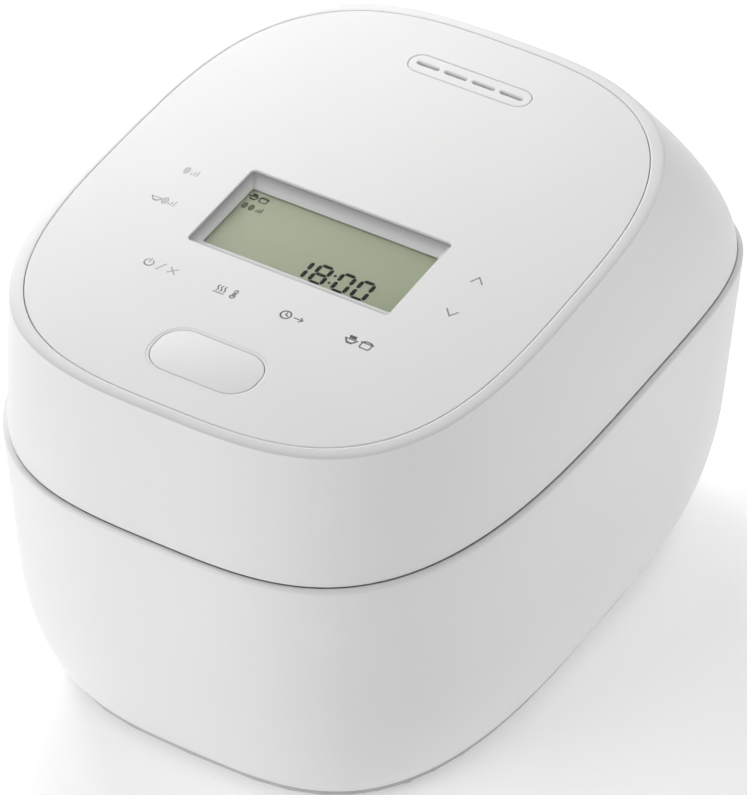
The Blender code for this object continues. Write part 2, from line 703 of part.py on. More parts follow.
pot_inside = POT_RADIUS - POT_WALL
pot_section = [(POT_FLANGE_RADIUS, FLANGE_TOP), (POT_FLANGE_RADIUS, FRAME_TOP + GAP),
               (POT_RADIUS, FRAME_TOP + GAP)]
pot_section += arc(POT_RADIUS - POT_CORNER, POT_BOTTOM_Z + POT_CORNER, POT_CORNER, 0, -90, 6)
pot_section += [(0.0, POT_BOTTOM_Z)]
inner_corner = POT_CORNER - POT_WALL
pot_lining = [(0.0, POT_BOTTOM_Z + POT_WALL)]
pot_lining += arc(pot_inside - inner_corner, POT_BOTTOM_Z + POT_CORNER, inner_corner, -90, 0, 6)
pot_lining += [(pot_inside, FLANGE_TOP)]
turned("inner_pot", pot_lining + pot_section, (0.0, POT_Y, 0.0), "coated")

sensor_hole = SENSOR_RADIUS + SENSOR_HOLE_GAP
turned("inner_case",
       [(CUP_INNER, CUP_TOP), (CUP_FLANGE_RADIUS, CUP_TOP), (CUP_FLANGE_RADIUS, CUP_TOP - CUP_WALL),
        (CUP_OUTER, CUP_TOP - CUP_WALL)]
       + arc(CUP_OUTER - POT_CORNER, CUP_UNDERSIDE + POT_CORNER, POT_CORNER, 0, -90, 5)
       + [(sensor_hole, CUP_UNDERSIDE), (sensor_hole, CUP_FLOOR)]
       + arc(CUP_INNER - inner_corner, CUP_FLOOR + inner_corner, inner_corner, -90, 0, 5),
       (0.0, POT_Y, 0.0), "dark")

# ---- heating coils and their holder --------------------------------------------------
turned("side_coil", ring_section(SIDE_COIL_INNER, SIDE_COIL_OUTER, SIDE_COIL_Z,
                                 SIDE_COIL_Z + SIDE_COIL_HEIGHT), (0.0, POT_Y, 0.0), "copper")
turned("bottom_coil", ring_section(BOTTOM_COIL_INNER, BOTTOM_COIL_OUTER,
                                   COIL_TOP - BOTTOM_COIL_THICKNESS, COIL_TOP),
       (0.0, POT_Y, 0.0), "copper")
turned("coil_holder", ring_section(HOLDER_INNER, HOLDER_OUTER, HOLDER_BOTTOM, HOLDER_TOP),
       (0.0, POT_Y, 0.0), "dark")
for i in range(FERRITE_COUNT):
    angle = 2 * math.pi * (i + 0.5) / FERRITE_COUNT
    bar = box(f"ferrite_bar_{i + 1}", FERRITE_SIZE,
              (FERRITE_RADIUS * math.cos(angle), POT_Y + FERRITE_RADIUS * math.sin(angle),
               HOLDER_BOTTOM - GAP - FERRITE_SIZE[2] / 2), "ferrite")
    bar.rotation_euler = (0.0, 0.0, angle)

# ---- pot temperature sensor in its sprung guide --------------------------------------
sensor_top = POT_BOTTOM_Z - GAP
sensor_stem_end = sensor_top - SENSOR_CAP - SENSOR_STEM_LENGTH
guide_top = sensor_top - SENSOR_CAP - SENSOR_TRAVEL - GAP
guide_bottom = guide_top - GUIDE_DEPTH
guide_bore = SENSOR_STEM_RADIUS + RUNNING_GAP
turned("temperature_sensor",
       [(0.0, sensor_top), (SENSOR_RADIUS, sensor_top), (SENSOR_RADIUS, sensor_top - SENSOR_CAP),
        (SENSOR_STEM_RADIUS, sensor_top - SENSOR_CAP), (SENSOR_STEM_RADIUS, sensor_stem_end),
        (0.0, sensor_stem_end)], (0.0, POT_Y, 0.0), "aluminium", 24)
turned("sensor_guide",
       [(guide_bore, guide_top), (guide_bore + GUIDE_WALL, guide_top),
        (guide_bore + GUIDE_WALL, guide_bottom), (GUIDE_BORE, guide_bottom),
        (GUIDE_BORE, guide_bottom + GUIDE_WALL), (guide_bore, guide_bottom + GUIDE_WALL)],
       (0.0, POT_Y, 0.0), "dark", 24)
spring_low = guide_bottom + GUIDE_WALL + GAP + SPRING_WIRE
spring_high = sensor_stem_end - GAP - SPRING_WIRE
spring("sensor_spring", SENSOR_STEM_RADIUS - SENSOR_COIL_INSET, SPRING_WIRE, spring_high - spring_low, 3,
       (0.0, POT_Y, (spring_low + spring_high) / 2), "Z")

# ---- power electronics behind the cup ------------------------------------------------
box("power_board", (POWER_BOARD_SIZE[0], BOARD_THICKNESS, POWER_BOARD_SIZE[1]),
    (0.0, POWER_BOARD_Y, POWER_BOARD_Z + POWER_BOARD_SIZE[1] / 2), "board")
behind_board = POWER_BOARD_Y + BOARD_THICKNESS / 2 + GAP
sink_middle_z = POWER_BOARD_Z + POWER_BOARD_SIZE[1] / 2
fin_pitch = (SINK_SIZE[0] - SINK_FIN) / (SINK_FINS - 1)
comb = [(-SINK_SIZE[0] / 2, behind_board), (SINK_SIZE[0] / 2, behind_board)]
for i in reversed(range(SINK_FINS)):
    fin_left = -SINK_SIZE[0] / 2 + fin_pitch * i
    if i < SINK_FINS - 1:
        comb.append((fin_left + SINK_FIN, behind_board + SINK_BASE))
    comb += [(fin_left + SINK_FIN, behind_board + SINK_SIZE[1]),
             (fin_left, behind_board + SINK_SIZE[1])]
    if i > 0:
        comb.append((fin_left, behind_board + SINK_BASE))
flat("heat_sink", [comb], SINK_SIZE[2], sink_middle_z - SINK_SIZE[2] / 2, "aluminium")
cylinder("capacitor", CAPACITOR_RADIUS, CAPACITOR_LENGTH,
         (SINK_SIZE[0] / 2 + 2 * CAPACITOR_RADIUS, behind_board + CAPACITOR_LENGTH / 2,
          sink_middle_z - CAPACITOR_RADIUS), "Y", "dark", segments=20)
cylinder("choke_coil", CHOKE_RADIUS, CHOKE_LENGTH,
         (-SINK_SIZE[0] / 2 - 2 * CHOKE_RADIUS + CHOKE_INSET, behind_board + CHOKE_LENGTH / 2,
          sink_middle_z + CHOKE_RADIUS), "Y", "copper", segments=20)

# ---- cooling fan over the base vents -------------------------------------------------
fan_bottom = BASE_TOP + GAP
flat("fan_housing", [rounded_rectangle((FAN_SIZE, FAN_SIZE), FAN_CORNER, (0.0, fan_y), 3),
                     circle(FAN_BORE, (0.0, fan_y))], FAN_DEPTH, fan_bottom, "dark")
blade_tip = FAN_BORE - FAN_TIP_GAP
blade_middle = fan_bottom + FAN_DEPTH / 2
fan_rotor = cylinder("fan_rotor", FAN_HUB, FAN_DEPTH - 2 * FAN_ROTOR_INSET, (0.0, fan_y, blade_middle),
                     "Z", "dark", segments=20)
for i in range(FAN_BLADES):
    angle = 2 * math.pi * i / FAN_BLADES
    reach = blade_tip - FAN_HUB / 2
    blade = cutter(box(f"fan_blade_{i + 1}", (reach, *FAN_BLADE), (0.0, 0.0, 0.0), collection=CUTTERS))
    middle = FAN_HUB / 2 + reach / 2 - FAN_BLADE_ROOT
    lean = Matrix.Rotation(angle, 4, "Z") @ Matrix.Translation((middle, 0.0, 0.0)) \
        @ Matrix.Rotation(math.radians(FAN_BLADE_LEAN), 4, "X")
    blade.matrix_world = Matrix.Translation((0.0, fan_y, blade_middle)) @ lean
    combine(fan_rotor, blade, "UNION")

# ---- hinge: brackets and pin on the body, arms on the lid -----------------------------
def knuckle(points_per_arc, start, end):
    return arc(0.0, 0.0, KNUCKLE_RADIUS, start, end, points_per_arc)


bracket_foot = FRAME_TOP + GAP - HINGE_Z
bracket_heel = -1.5 * KNUCKLE_RADIUS
bracket_toe = bracket_heel - BRACKET_FOOT_LENGTH
bracket_line = knuckle(9, -110, 170) + [(bracket_toe, bracket_foot + BRACKET_TOE_HEIGHT),
                                        (bracket_toe, bracket_foot), (bracket_heel, bracket_foot),
                                        (bracket_heel, -1.75 * KNUCKLE_RADIUS)]
arm_foot = COVER_TOP + GAP - HINGE_Z
arm_start = -COVER_REAR_GAP
arm_end = arm_start - ARM_LENGTH
arm_line = knuckle(8, -90, 90) + [(arm_end, ARM_TIP_RAISE), (arm_end, arm_foot), (arm_start, arm_foot),
                                  (-KNUCKLE_RADIUS, -0.8 * KNUCKLE_RADIUS)]
pin_hole = circle(PIN_RADIUS + RUNNING_GAP, (0.0, 0.0), 16)
cylinder("hinge_pin", PIN_RADIUS, 2 * PIN_HALF_LENGTH, (0.0, HINGE_Y, HINGE_Z), "X", "steel", segments=16)
for side, word in ((1, "right"), (-1, "left")):
    upright("hinge_bracket_" + word, [bracket_line, pin_hole], BRACKET_THICKNESS,
            (side * BRACKET_X, HINGE_Y, HINGE_Z), "white")
    carry(upright("lid_hinge_arm_" + word, [arm_line, pin_hole], ARM_THICKNESS,
                  (side * ARM_X, HINGE_Y, HINGE_Z), "steel"), lid_hinge)
    spring("hinge_spring_" + word, SPRING_COIL_RADIUS, SPRING_WIRE, SPRING_SPAN[1] - SPRING_SPAN[0],
           SPRING_TURNS, (side * (SPRING_SPAN[0] + SPRING_SPAN[1]) / 2, HINGE_Y, HINGE_Z), "X")

# ---- curved cover round the hinge, carried by the lid ----------------------------------
skirt_outer = HINGE_SWEEP - SKIRT_GAP
skirt_line = arc(0.0, 0.0, skirt_outer, SKIRT_END, SKIRT_START, 9)
skirt_line += arc(0.0, 0.0, skirt_outer - SKIRT_WALL, SKIRT_START, SKIRT_END, 9)
skirt_half_length = BRACKET_X - BRACKET_THICKNESS / 2 - SKIRT_SIDE_GAP
carry(upright("lid_hinge_skirt", [skirt_line], 2 * skirt_half_length, (0.0, HINGE_Y, HINGE_Z), "white"),
      lid_hinge)

# ---- lid shell ----------------------------------------------------------------------
def lid_wall_ring(level):
    """One ring of the lid wall: level 0 at the rim's edge, 1 at the seam. Behind the
    hinge axis the bottom edge rises round the axis, so that the lid can swing down."""
    rim = on_deck(plate_outline(-RIM_WIDTH), RIM_DROP)
    seam = lid_outline()
    ring = []
    for (rx, ry, rz), (sx, sy) in zip(rim, seam):
        bottom = LID_BOTTOM
        if sy > HINGE_Y:
            bottom = HINGE_Z - math.sqrt(HINGE_SWEEP ** 2 - (sy - HINGE_Y) ** 2)
        depth = level * (rz - bottom) / (rz - LID_BOTTOM)
        spread = 1 - (1 - depth) ** SHOULDER_POWER
        ring.append((rx + (sx - rx) * spread, ry + (sy - ry) * spread, rz + (LID_BOTTOM - rz) * depth))
    return ring


pocket_depth = PLATE_THICKNESS + GAP
lid_rings = [on_deck(plate_outline(LEDGE_WIDTH), pocket_depth),
             on_deck(plate_outline(-GAP), pocket_depth),
             on_deck(plate_outline(-GAP), 0.0),
             on_deck(plate_outline(-0.6 * RIM_WIDTH), 0.25 * RIM_DROP)]
lid_rings += [lid_wall_ring(level) for level in (0.0, 0.12, 0.26, 0.42, 0.60, 0.80, 1.0)]
carry(thicken(loft("lid_shell", lid_rings, "white"), LID_WALL), lid_hinge)

# ---- top plate and the pieces set in it ----------------------------------------------
def slot_row():
    first = -STEAM_SLOT_PITCH * (STEAM_SLOTS - 1) / 2
    return [rounded_rectangle(STEAM_SLOT, STEAM_SLOT_CORNER, (first + STEAM_SLOT_PITCH * i, 0.0), 3)
            for i in range(STEAM_SLOTS)]


def larger(size, margin):
    return (size[0] + 2 * margin, size[1] + 2 * margin)


deck(flat("top_plate",
          [plate_outline(),
           rounded_rectangle(WINDOW_SIZE, WINDOW_CORNER, (0.0, WINDOW_Y), 4),
           rounded_rectangle(larger(BUTTON_SIZE, GAP), BUTTON_CORNER + GAP, (0.0, BUTTON_Y), 6),
           rounded_rectangle(larger(STEAM_CAP_SIZE, GAP), STEAM_CAP_SIZE[1] / 2 + GAP,
                             (0.0, STEAM_CAP_Y), 6)],
          PLATE_THICKNESS, -PLATE_THICKNESS, "plate"))

window_fit = larger(WINDOW_SIZE, -GAP)
deck(flat("display_window", [rounded_rectangle(window_fit, WINDOW_CORNER, (0.0, WINDOW_Y), 4)],
          WINDOW_THICKNESS, -WINDOW_THICKNESS, "clear"))
bezel_top = WINDOW_THICKNESS + GAP
bezel_rings = [(larger(window_fit, -BEZEL_LIP), bezel_top), (window_fit, bezel_top),
               (window_fit, LCD_DEPTH), (LCD_VIEW, LCD_DEPTH)]
deck(loft("display_bezel",
          [at_height(rounded_rectangle(size, WINDOW_CORNER, (0.0, WINDOW_Y), 4), -depth)
           for size, depth in bezel_rings], "bezel", closed=True))
deck(box("lcd_panel", LCD_SIZE, (0.0, WINDOW_Y, -LCD_DEPTH - GAP - LCD_SIZE[2] / 2), "lcd"))
deck(box("control_board", (*CONTROL_BOARD_SIZE, BOARD_THICKNESS),
         (0.0, WINDOW_Y, -CONTROL_BOARD_DEPTH), "board"))
deck(cylinder("clock_battery", BATTERY_RADIUS, BATTERY_HEIGHT,
              (-CONTROL_BOARD_SIZE[0] / 3, WINDOW_Y,
               -CONTROL_BOARD_DEPTH - BOARD_THICKNESS / 2 - GAP - BATTERY_HEIGHT / 2),
              "Z", "steel", segments=20))

# ---- open button, its cup and its spring ----------------------------------------------
deck_z_over_latch = PLATE_Z + PLATE_SLOPE * BUTTON_Y
stem_bottom = LATCH_Z + HOOK_TOP + BUTTON_PLAY - deck_z_over_latch
open_button = to_mesh(flat("open_button", [rounded_rectangle(BUTTON_SIZE, BUTTON_CORNER, (0.0, 0.0), 6)],
                           BUTTON_THICKNESS, -BUTTON_THICKNESS, "plate"))
open_button.location = (0.0, BUTTON_Y, -BUTTON_THICKNESS / 2)
deck(open_button)
stem = cutter(cylinder("button_stem", BUTTON_STEM_RADIUS, -stem_bottom - BUTTON_THICKNESS / 2,
                       (0.0, BUTTON_Y + BUTTON_STEM_SHIFT, (stem_bottom - BUTTON_THICKNESS / 2) / 2),
                       collection=CUTTERS))
deck(stem)
combine(open_button, stem, "UNION")

cup_size = larger(BUTTON_SIZE, BUTTON_CUP_MARGIN)
cup_top = -PLATE_THICKNESS - GAP
button_cup = deck(box("button_cup", (cup_size[0], cup_size[1], BUTTON_CUP_DEPTH),
                      (0.0, BUTTON_Y, cup_top - BUTTON_CUP_DEPTH / 2), "grey"))
cup_room = larger(cup_size, -BUTTON_CUP_WALL)
for hollow in (cut_box("button_cup_room", (*cup_room, 2 * (BUTTON_CUP_DEPTH - BUTTON_CUP_WALL)),
                       (0.0, BUTTON_Y, cup_top)),
               cut_cylinder("button_cup_hole", BUTTON_STEM_RADIUS + BUTTON_HOLE_GAP, 2 * BUTTON_CUP_DEPTH,
                            (0.0, BUTTON_Y + BUTTON_STEM_SHIFT, cup_top - BUTTON_CUP_DEPTH))):
    deck(hollow)
    combine(button_cup, hollow)
coil_low = cup_top - BUTTON_CUP_DEPTH + BUTTON_CUP_WALL + GAP + SPRING_WIRE
coil_high = -BUTTON_THICKNESS - GAP - SPRING_WIRE
deck(spring("button_spring", BUTTON_STEM_RADIUS + BUTTON_COIL_GAP, SPRING_WIRE, coil_high - coil_low, 3,
            (0.0, BUTTON_Y + BUTTON_STEM_SHIFT, (coil_low + coil_high) / 2), "Z"))

# ---- steam cap, tray and packing ------------------------------------------------------
steam_cap = deck(flat("steam_cap", [rounded_rectangle(STEAM_CAP_SIZE, STEAM_CAP_SIZE[1] / 2, (0.0, 0.0), 6)]
                      + slot_row(), STEAM_CAP_THICKNESS, -STEAM_CAP_THICKNESS, "plate"))
steam_cap.location = (0.0, STEAM_CAP_Y, -STEAM_CAP_THICKNESS / 2)

tray_front = STEAM_Y - STEAM_TRAY_FRONT_MARGIN
tray_rear = STEAM_CAP_Y + STEAM_CAP_SIZE[1] / 2 + STEAM_TRAY_REAR_MARGIN
tray_size = (STEAM_CAP_SIZE[0] + 2 * STEAM_TRAY_SIDE_MARGIN, tray_rear - tray_front, STEAM_TRAY_DEPTH)
tray_top = -STEAM_CAP_THICKNESS - GAP
tray_middle = (0.0, (tray_front + tray_rear) / 2, tray_top - STEAM_TRAY_DEPTH / 2)
tray_floor = tray_top - STEAM_TRAY_DEPTH
tray_mouth = tuple(size - 2 * margin for size, margin in zip(STEAM_CAP_SIZE, STEAM_MOUTH_MARGIN))
inlet_y = STEAM_Y + PLATE_SLOPE * tray_floor   # over the packing, allowing for the slope
steam_tray = deck(box("steam_tray", tray_size, tray_middle, "grey"))
for hollow in (cut_box("steam_tray_room", tuple(s - 2 * STEAM_TRAY_WALL for s in tray_size), tray_middle),
               cut_box("steam_tray_mouth", (*tray_mouth, STEAM_TRAY_CUT), (0.0, STEAM_CAP_Y, tray_top)),
               cut_cylinder("steam_tray_inlet", STEAM_TUBE_RADIUS + STEAM_INLET_GAP, STEAM_TRAY_CUT,
                            (0.0, inlet_y, tray_floor))):
    deck(hollow)
    combine(steam_tray, hollow)

packing_top = PLATE_Z + PLATE_SLOPE * STEAM_Y + tray_floor + STEAM_TRAY_WALL
carry(turned("steam_packing", ring_section(STEAM_BORE, STEAM_TUBE_RADIUS, INNER_LID_BOTTOM, packing_top),
             (0.0, STEAM_Y, 0.0), "silicone", 24), lid_hinge)

# ---- lower cover, heater, inner lid and gasket ----------------------------------------
wall_lean = [(sx - wx, sy - wy) for (sx, sy), (wx, wy, _) in
             zip(lid_outline(), lid_wall_ring((PLATE_Z - COVER_TOP) / (PLATE_Z - LID_BOTTOM)))]
cover_line = [(x - lean_x, min(y - lean_y, COVER_REAR_Y)) for (x, y), (lean_x, lean_y) in
              zip(lid_outline(LID_WALL + COVER_SIDE_GAP), wall_lean)]
cover_line = [p for i, p in enumerate(cover_line) if abs(p[0] - cover_line[i - 1][0]) > 1e-6
              or p[1] < COVER_REAR_Y - 1e-6]
hook_slot = (LATCH_WIDTH + 2 * LATCH_SLOT_MARGIN, LATCH_SLOT_LENGTH)
lid_lower_cover = to_mesh(flat("lid_lower_cover",
                               [cover_line, circle(STEAM_TUBE_RADIUS + GAP, (0.0, STEAM_Y)),
                                rounded_rectangle(hook_slot, LATCH_SLOT_CORNER,
                                                  (0.0, LATCH_Y - LATCH_SLOT_SHIFT), 3)],
                               COVER_THICKNESS, COVER_BOTTOM, "white"))
for side, word in ((1, "right"), (-1, "left")):
    ear_bottom = COVER_TOP - LATCH_EAR_ROOT
    ear_top = LATCH_Z + LATCH_EAR_TOP
    ear = cutter(box("latch_ear_" + word, (LATCH_EAR_THICKNESS, LATCH_EAR_WIDTH, ear_top - ear_bottom),
                     (side * LATCH_EAR_X, LATCH_Y, (ear_bottom + ear_top) / 2), collection=CUTTERS))
    combine(lid_lower_cover, ear, "UNION")
combine(lid_lower_cover, cut_cylinder("latch_ear_bore", LATCH_PIN_RADIUS + RUNNING_GAP,
                                      4 * LATCH_PIN_HALF_LENGTH, (0.0, LATCH_Y, LATCH_Z), "X", 16))
finish(lid_lower_cover, "white")
carry(lid_lower_cover, lid_hinge)

heater = turned("lid_heater", [(0.0, HEATER_BOTTOM + HEATER_THICKNESS),
                               (HEATER_RADIUS, HEATER_BOTTOM + HEATER_THICKNESS),
                               (HEATER_RADIUS, HEATER_BOTTOM), (0.0, HEATER_BOTTOM)],
                (0.0, POT_Y, 0.0), "steel")
rim_radius = INNER_LID_RADIUS - INNER_LID_EDGE[0]
inner_lid = turned("inner_lid", [(0.0, INNER_LID_TOP), (rim_radius, INNER_LID_TOP),
                                 (INNER_LID_RADIUS, INNER_LID_TOP - INNER_LID_EDGE[1]),
                                 (INNER_LID_RADIUS, INNER_LID_BOTTOM - INNER_LID_EDGE[1]),
                                 (rim_radius, INNER_LID_BOTTOM), (0.0, INNER_LID_BOTTOM)],
                   (0.0, POT_Y, 0.0), "aluminium")
for disc in (heater, inner_lid):
    combine(disc, cut_cylinder("steam_way_" + disc.name, STEAM_TUBE_RADIUS + GAP, HEATER_RADIUS,
                               (0.0, STEAM_Y, INNER_LID_TOP)))
    carry(disc, lid_hinge)

lip_bottom = FLANGE_TOP + GAP
lip_top = lip_bottom + GASKET_LIP_THICKNESS
carry(turned("lid_gasket", [(INNER_LID_RADIUS + GAP, COVER_BOTTOM - GAP),
                            (GASKET_OUTER, COVER_BOTTOM - GAP),
                            (GASKET_OUTER, lip_bottom), (GASKET_LIP, lip_bottom),
                            (GASKET_LIP, lip_top), (INNER_LID_RADIUS + GAP, lip_top)],
             (0.0, POT_Y, 0.0), "silicone"), lid_hinge)

# ---- latch hook and its pin -----------------------------------------------------------
carry(cylinder("latch_pin", LATCH_PIN_RADIUS, 2 * LATCH_PIN_HALF_LENGTH, (0.0, LATCH_Y, LATCH_Z),
               "X", "steel", segments=16), lid_hinge)
half_arm = LATCH_ARM / 2
arm_underside = HOOK_TOP - HOOK_ARM_DEPTH
hook_line = [(-half_arm, LATCH_TIP), (half_arm + LATCH_TOOTH * 0.4, LATCH_TIP),
             (half_arm + LATCH_TOOTH, LATCH_TIP + LATCH_TOOTH_HEIGHT * 0.5),
             (half_arm + LATCH_TOOTH, LATCH_TIP + LATCH_TOOTH_HEIGHT),
             (half_arm, LATCH_TIP + LATCH_TOOTH_HEIGHT), (half_arm, -LATCH_ARM),
             (HOOK_HUB, 0.0), (HOOK_SHOULDER, arm_underside - half_arm / 5),
             (LATCH_REACH, arm_underside), (LATCH_REACH, HOOK_TOP), (half_arm, HOOK_TOP),
             (-0.7 * HOOK_HUB, HOOK_SHOULDER), (-HOOK_HUB, 0.0), (-1.4 * half_arm, -LATCH_ARM)]
latch_hook = upright("latch_hook", [hook_line, circle(LATCH_PIN_RADIUS + RUNNING_GAP, (0.0, 0.0), 16)],
                     LATCH_WIDTH, (0.0, LATCH_Y, LATCH_Z), "grey")
carry(latch_hook, lid_hinge)
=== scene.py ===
import json
import math

import bmesh
import bpy
from mathutils import Matrix, Vector


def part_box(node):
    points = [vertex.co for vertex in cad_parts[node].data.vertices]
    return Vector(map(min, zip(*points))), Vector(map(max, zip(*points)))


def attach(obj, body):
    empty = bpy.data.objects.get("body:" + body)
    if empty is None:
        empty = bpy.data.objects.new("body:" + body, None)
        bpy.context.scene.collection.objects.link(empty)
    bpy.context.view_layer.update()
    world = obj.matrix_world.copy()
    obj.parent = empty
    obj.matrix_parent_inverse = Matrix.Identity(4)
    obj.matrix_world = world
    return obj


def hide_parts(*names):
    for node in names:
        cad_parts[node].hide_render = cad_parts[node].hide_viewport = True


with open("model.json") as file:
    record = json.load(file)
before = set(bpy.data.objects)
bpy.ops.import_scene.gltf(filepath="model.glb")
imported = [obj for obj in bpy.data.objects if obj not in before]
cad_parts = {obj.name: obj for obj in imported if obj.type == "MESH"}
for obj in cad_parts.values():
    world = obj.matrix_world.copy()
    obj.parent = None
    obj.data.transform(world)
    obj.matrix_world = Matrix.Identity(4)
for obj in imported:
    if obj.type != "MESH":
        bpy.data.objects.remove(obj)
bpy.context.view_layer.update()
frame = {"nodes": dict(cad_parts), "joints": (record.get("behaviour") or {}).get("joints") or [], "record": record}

nodes = frame["nodes"]


# ---- Studio: camera, floor and lights --------------------------------------------------
# A pale softly glowing light table under broad soft boxes. The lens is long and looks down on the
# cooker from the front right, so its sides hardly converge.
LOOK_AT = Vector((0.0, -0.0015, 0.1))
CAMERA_AZIMUTH, CAMERA_HEIGHT = math.radians(31.545), math.radians(40.331)
CAMERA_DISTANCE, CAMERA_ROLL = 2.3487, math.radians(-0.161)
CAMERA_LENS, CAMERA_SHIFT = 225.42, (0.01666, 0.02826)
TABLE_GLOW, ROOM_GLOW = 0.26, 0.03
backwards = Vector((math.sin(CAMERA_AZIMUTH) * math.cos(CAMERA_HEIGHT),
                    -math.cos(CAMERA_AZIMUTH) * math.cos(CAMERA_HEIGHT), math.sin(CAMERA_HEIGHT)))
level_right = (-backwards).cross(Vector((0.0, 0.0, 1.0))).normalized()
level_up = level_right.cross(-backwards)
right = math.cos(CAMERA_ROLL) * level_right + math.sin(CAMERA_ROLL) * level_up
up = math.cos(CAMERA_ROLL) * level_up - math.sin(CAMERA_ROLL) * level_right
camera_data = bpy.data.cameras.new("camera")
camera_data.sensor_fit, camera_data.sensor_height, camera_data.sensor_width = "AUTO", 36.0, 36.0
camera_data.lens, camera_data.shift_x, camera_data.shift_y = CAMERA_LENS, *CAMERA_SHIFT
camera = bpy.data.objects.new("camera", camera_data)
camera.matrix_world = Matrix((right, up, backwards)).transposed().to_4x4()
camera.location = LOOK_AT + backwards * CAMERA_DISTANCE
bpy.context.scene.collection.objects.link(camera)
bpy.context.scene.camera = camera
bpy.context.scene.view_settings.view_transform = "Standard"

FLOOR_SIZE = 9.0
floor_mesh = bpy.data.meshes.new("floor")
half = FLOOR_SIZE / 2
floor_mesh.from_pydata([(-half, -half, 0), (half, -half, 0), (half, half, 0), (-half, half, 0)],
                       [], [(0, 1, 2, 3)])
floor = bpy.data.objects.new("floor", floor_mesh)
bpy.context.scene.collection.objects.link(floor)


def new_material(name, colour, roughness, metallic=0.0, coat=0.0):
    """An empty finish: a Principled shader with its plain values, ready for its pattern."""
    made = bpy.data.materials.new(name)
    made.use_nodes = True
    shader = made.node_tree.nodes["Principled BSDF"]
    shader.inputs["Base Color"].default_value = (*colour, 1.0)
    shader.inputs["Roughness"].default_value = roughness
    shader.inputs["Metallic"].default_value = metallic
    shader.inputs["Coat Weight"].default_value = coat
    return made, made.node_tree, shader


def add_noise(tree, scale, detail=2.0, stretch=(1.0, 1.0, 1.0)):
    """Noise fixed to the piece, and the socket that carries it."""
    place = tree.nodes.new("ShaderNodeTexCoord")
    mapping = tree.nodes.new("ShaderNodeMapping")
    mapping.inputs["Scale"].default_value = stretch
    noise = tree.nodes.new("ShaderNodeTexNoise")
    noise.inputs["Scale"].default_value = scale
    noise.inputs["Detail"].default_value = detail
    tree.links.new(place.outputs["Object"], mapping.inputs["Vector"])
    tree.links.new(mapping.outputs["Vector"], noise.inputs["Vector"])
    return noise.outputs["Fac"]


def spread(tree, value, low, high):
    """Maps noise, which keeps near its middle, onto a range."""
    span = tree.nodes.new("ShaderNodeMapRange")
    span.inputs["From Min"].default_value = 0.3
    span.inputs["From Max"].default_value = 0.7
    span.inputs["To Min"].default_value = low
    span.inputs["To Max"].default_value = high
    tree.links.new(value, span.inputs["Value"])
    return span.outputs["Result"]


def blend_colours(tree, share, first, second):
    mix = tree.nodes.new("ShaderNodeMix")
    mix.data_type = "RGBA"
    mix.inputs["A"].default_value = (*first, 1.0)
    mix.inputs["B"].default_value = (*second, 1.0)
    tree.links.new(share, mix.inputs["Factor"])
    return mix.outputs["Result"]


def add_bump(tree, shader, height, depth, strength=1.0):
    bump = tree.nodes.new("ShaderNodeBump")
    bump.inputs["Strength"].default_value = strength
    bump.inputs["Distance"].default_value = depth
    tree.links.new(height, bump.inputs["Height"])
    tree.links.new(bump.outputs["Normal"], shader.inputs["Normal"])


def moulded(name, colour, roughness, grain=1400.0, grain_depth=0.00002, shade=0.985, coat=0.0,
            metallic=0.0):
    """A moulded or painted finish: faint clouding, uneven gloss and a fine grain."""
    made, tree, shader = new_material(name, colour, roughness, metallic, coat)
    cloud = spread(tree, add_noise(tree, 14.0, 3.0), 0.0, 1.0)
    tree.links.new(blend_colours(tree, cloud, tuple(shade * c for c in colour), colour),
                   shader.inputs["Base Color"])
    gloss = spread(tree, add_noise(tree, 55.0, 3.0), 0.93 * roughness, 1.07 * roughness)
    tree.links.new(gloss, shader.inputs["Roughness"])
    add_bump(tree, shader, add_noise(tree, grain, 2.0), grain_depth)
    return made


light_table = moulded("pale_light_table", (0.93, 0.93, 0.93), 0.85, 200.0, 0.0001)
table_shader = light_table.node_tree.nodes["Principled BSDF"]
table_shader.inputs["Emission Color"].default_value = (1.0, 1.0, 1.0, 1.0)
table_shader.inputs["Emission Strength"].default_value = TABLE_GLOW
floor.data.materials.append(light_table)

world = bpy.data.worlds.new("studio")
world.use_nodes = True
world.node_tree.nodes["Background"].inputs["Color"].default_value = (1.0, 1.0, 1.0, 1.0)
world.node_tree.nodes["Background"].inputs["Strength"].default_value = ROOM_GLOW
bpy.context.scene.world = world

SOFT_BOXES = (  # name, where it stands, side of its square face, power in watts
    ("front_left", (-1.3, -2.2, 1.3), 1.8, 41.0), ("right", (2.5, 0.3, 1.2), 1.8, 22.0),
    ("rear", (-0.1, 1.9, 1.5), 1.4, 10.0), ("rear_right", (1.6, 1.6, 1.8), 1.8, 9.5),
    ("front", (0.2, -2.6, 1.2), 1.8, 6.0),
    ("near_card", (-0.5, 0.7, 0.75), 0.5, 2.7), ("near_left_card", (-0.7, 0.4, 0.6), 0.5, 4.7),
)
for light_name, place, side, power in SOFT_BOXES:
    light_data = bpy.data.lights.new(light_name, "AREA")
    light_data.shape, light_data.size, light_data.energy = "SQUARE", side, power
    light = bpy.data.objects.new(light_name, light_data)
    light.visible_camera = False
    light.location = place
    light.rotation_euler = (LOOK_AT - Vector(place)).to_track_quat("-Z", "Y").to_euler()
    bpy.context.scene.collection.objects.link(light)


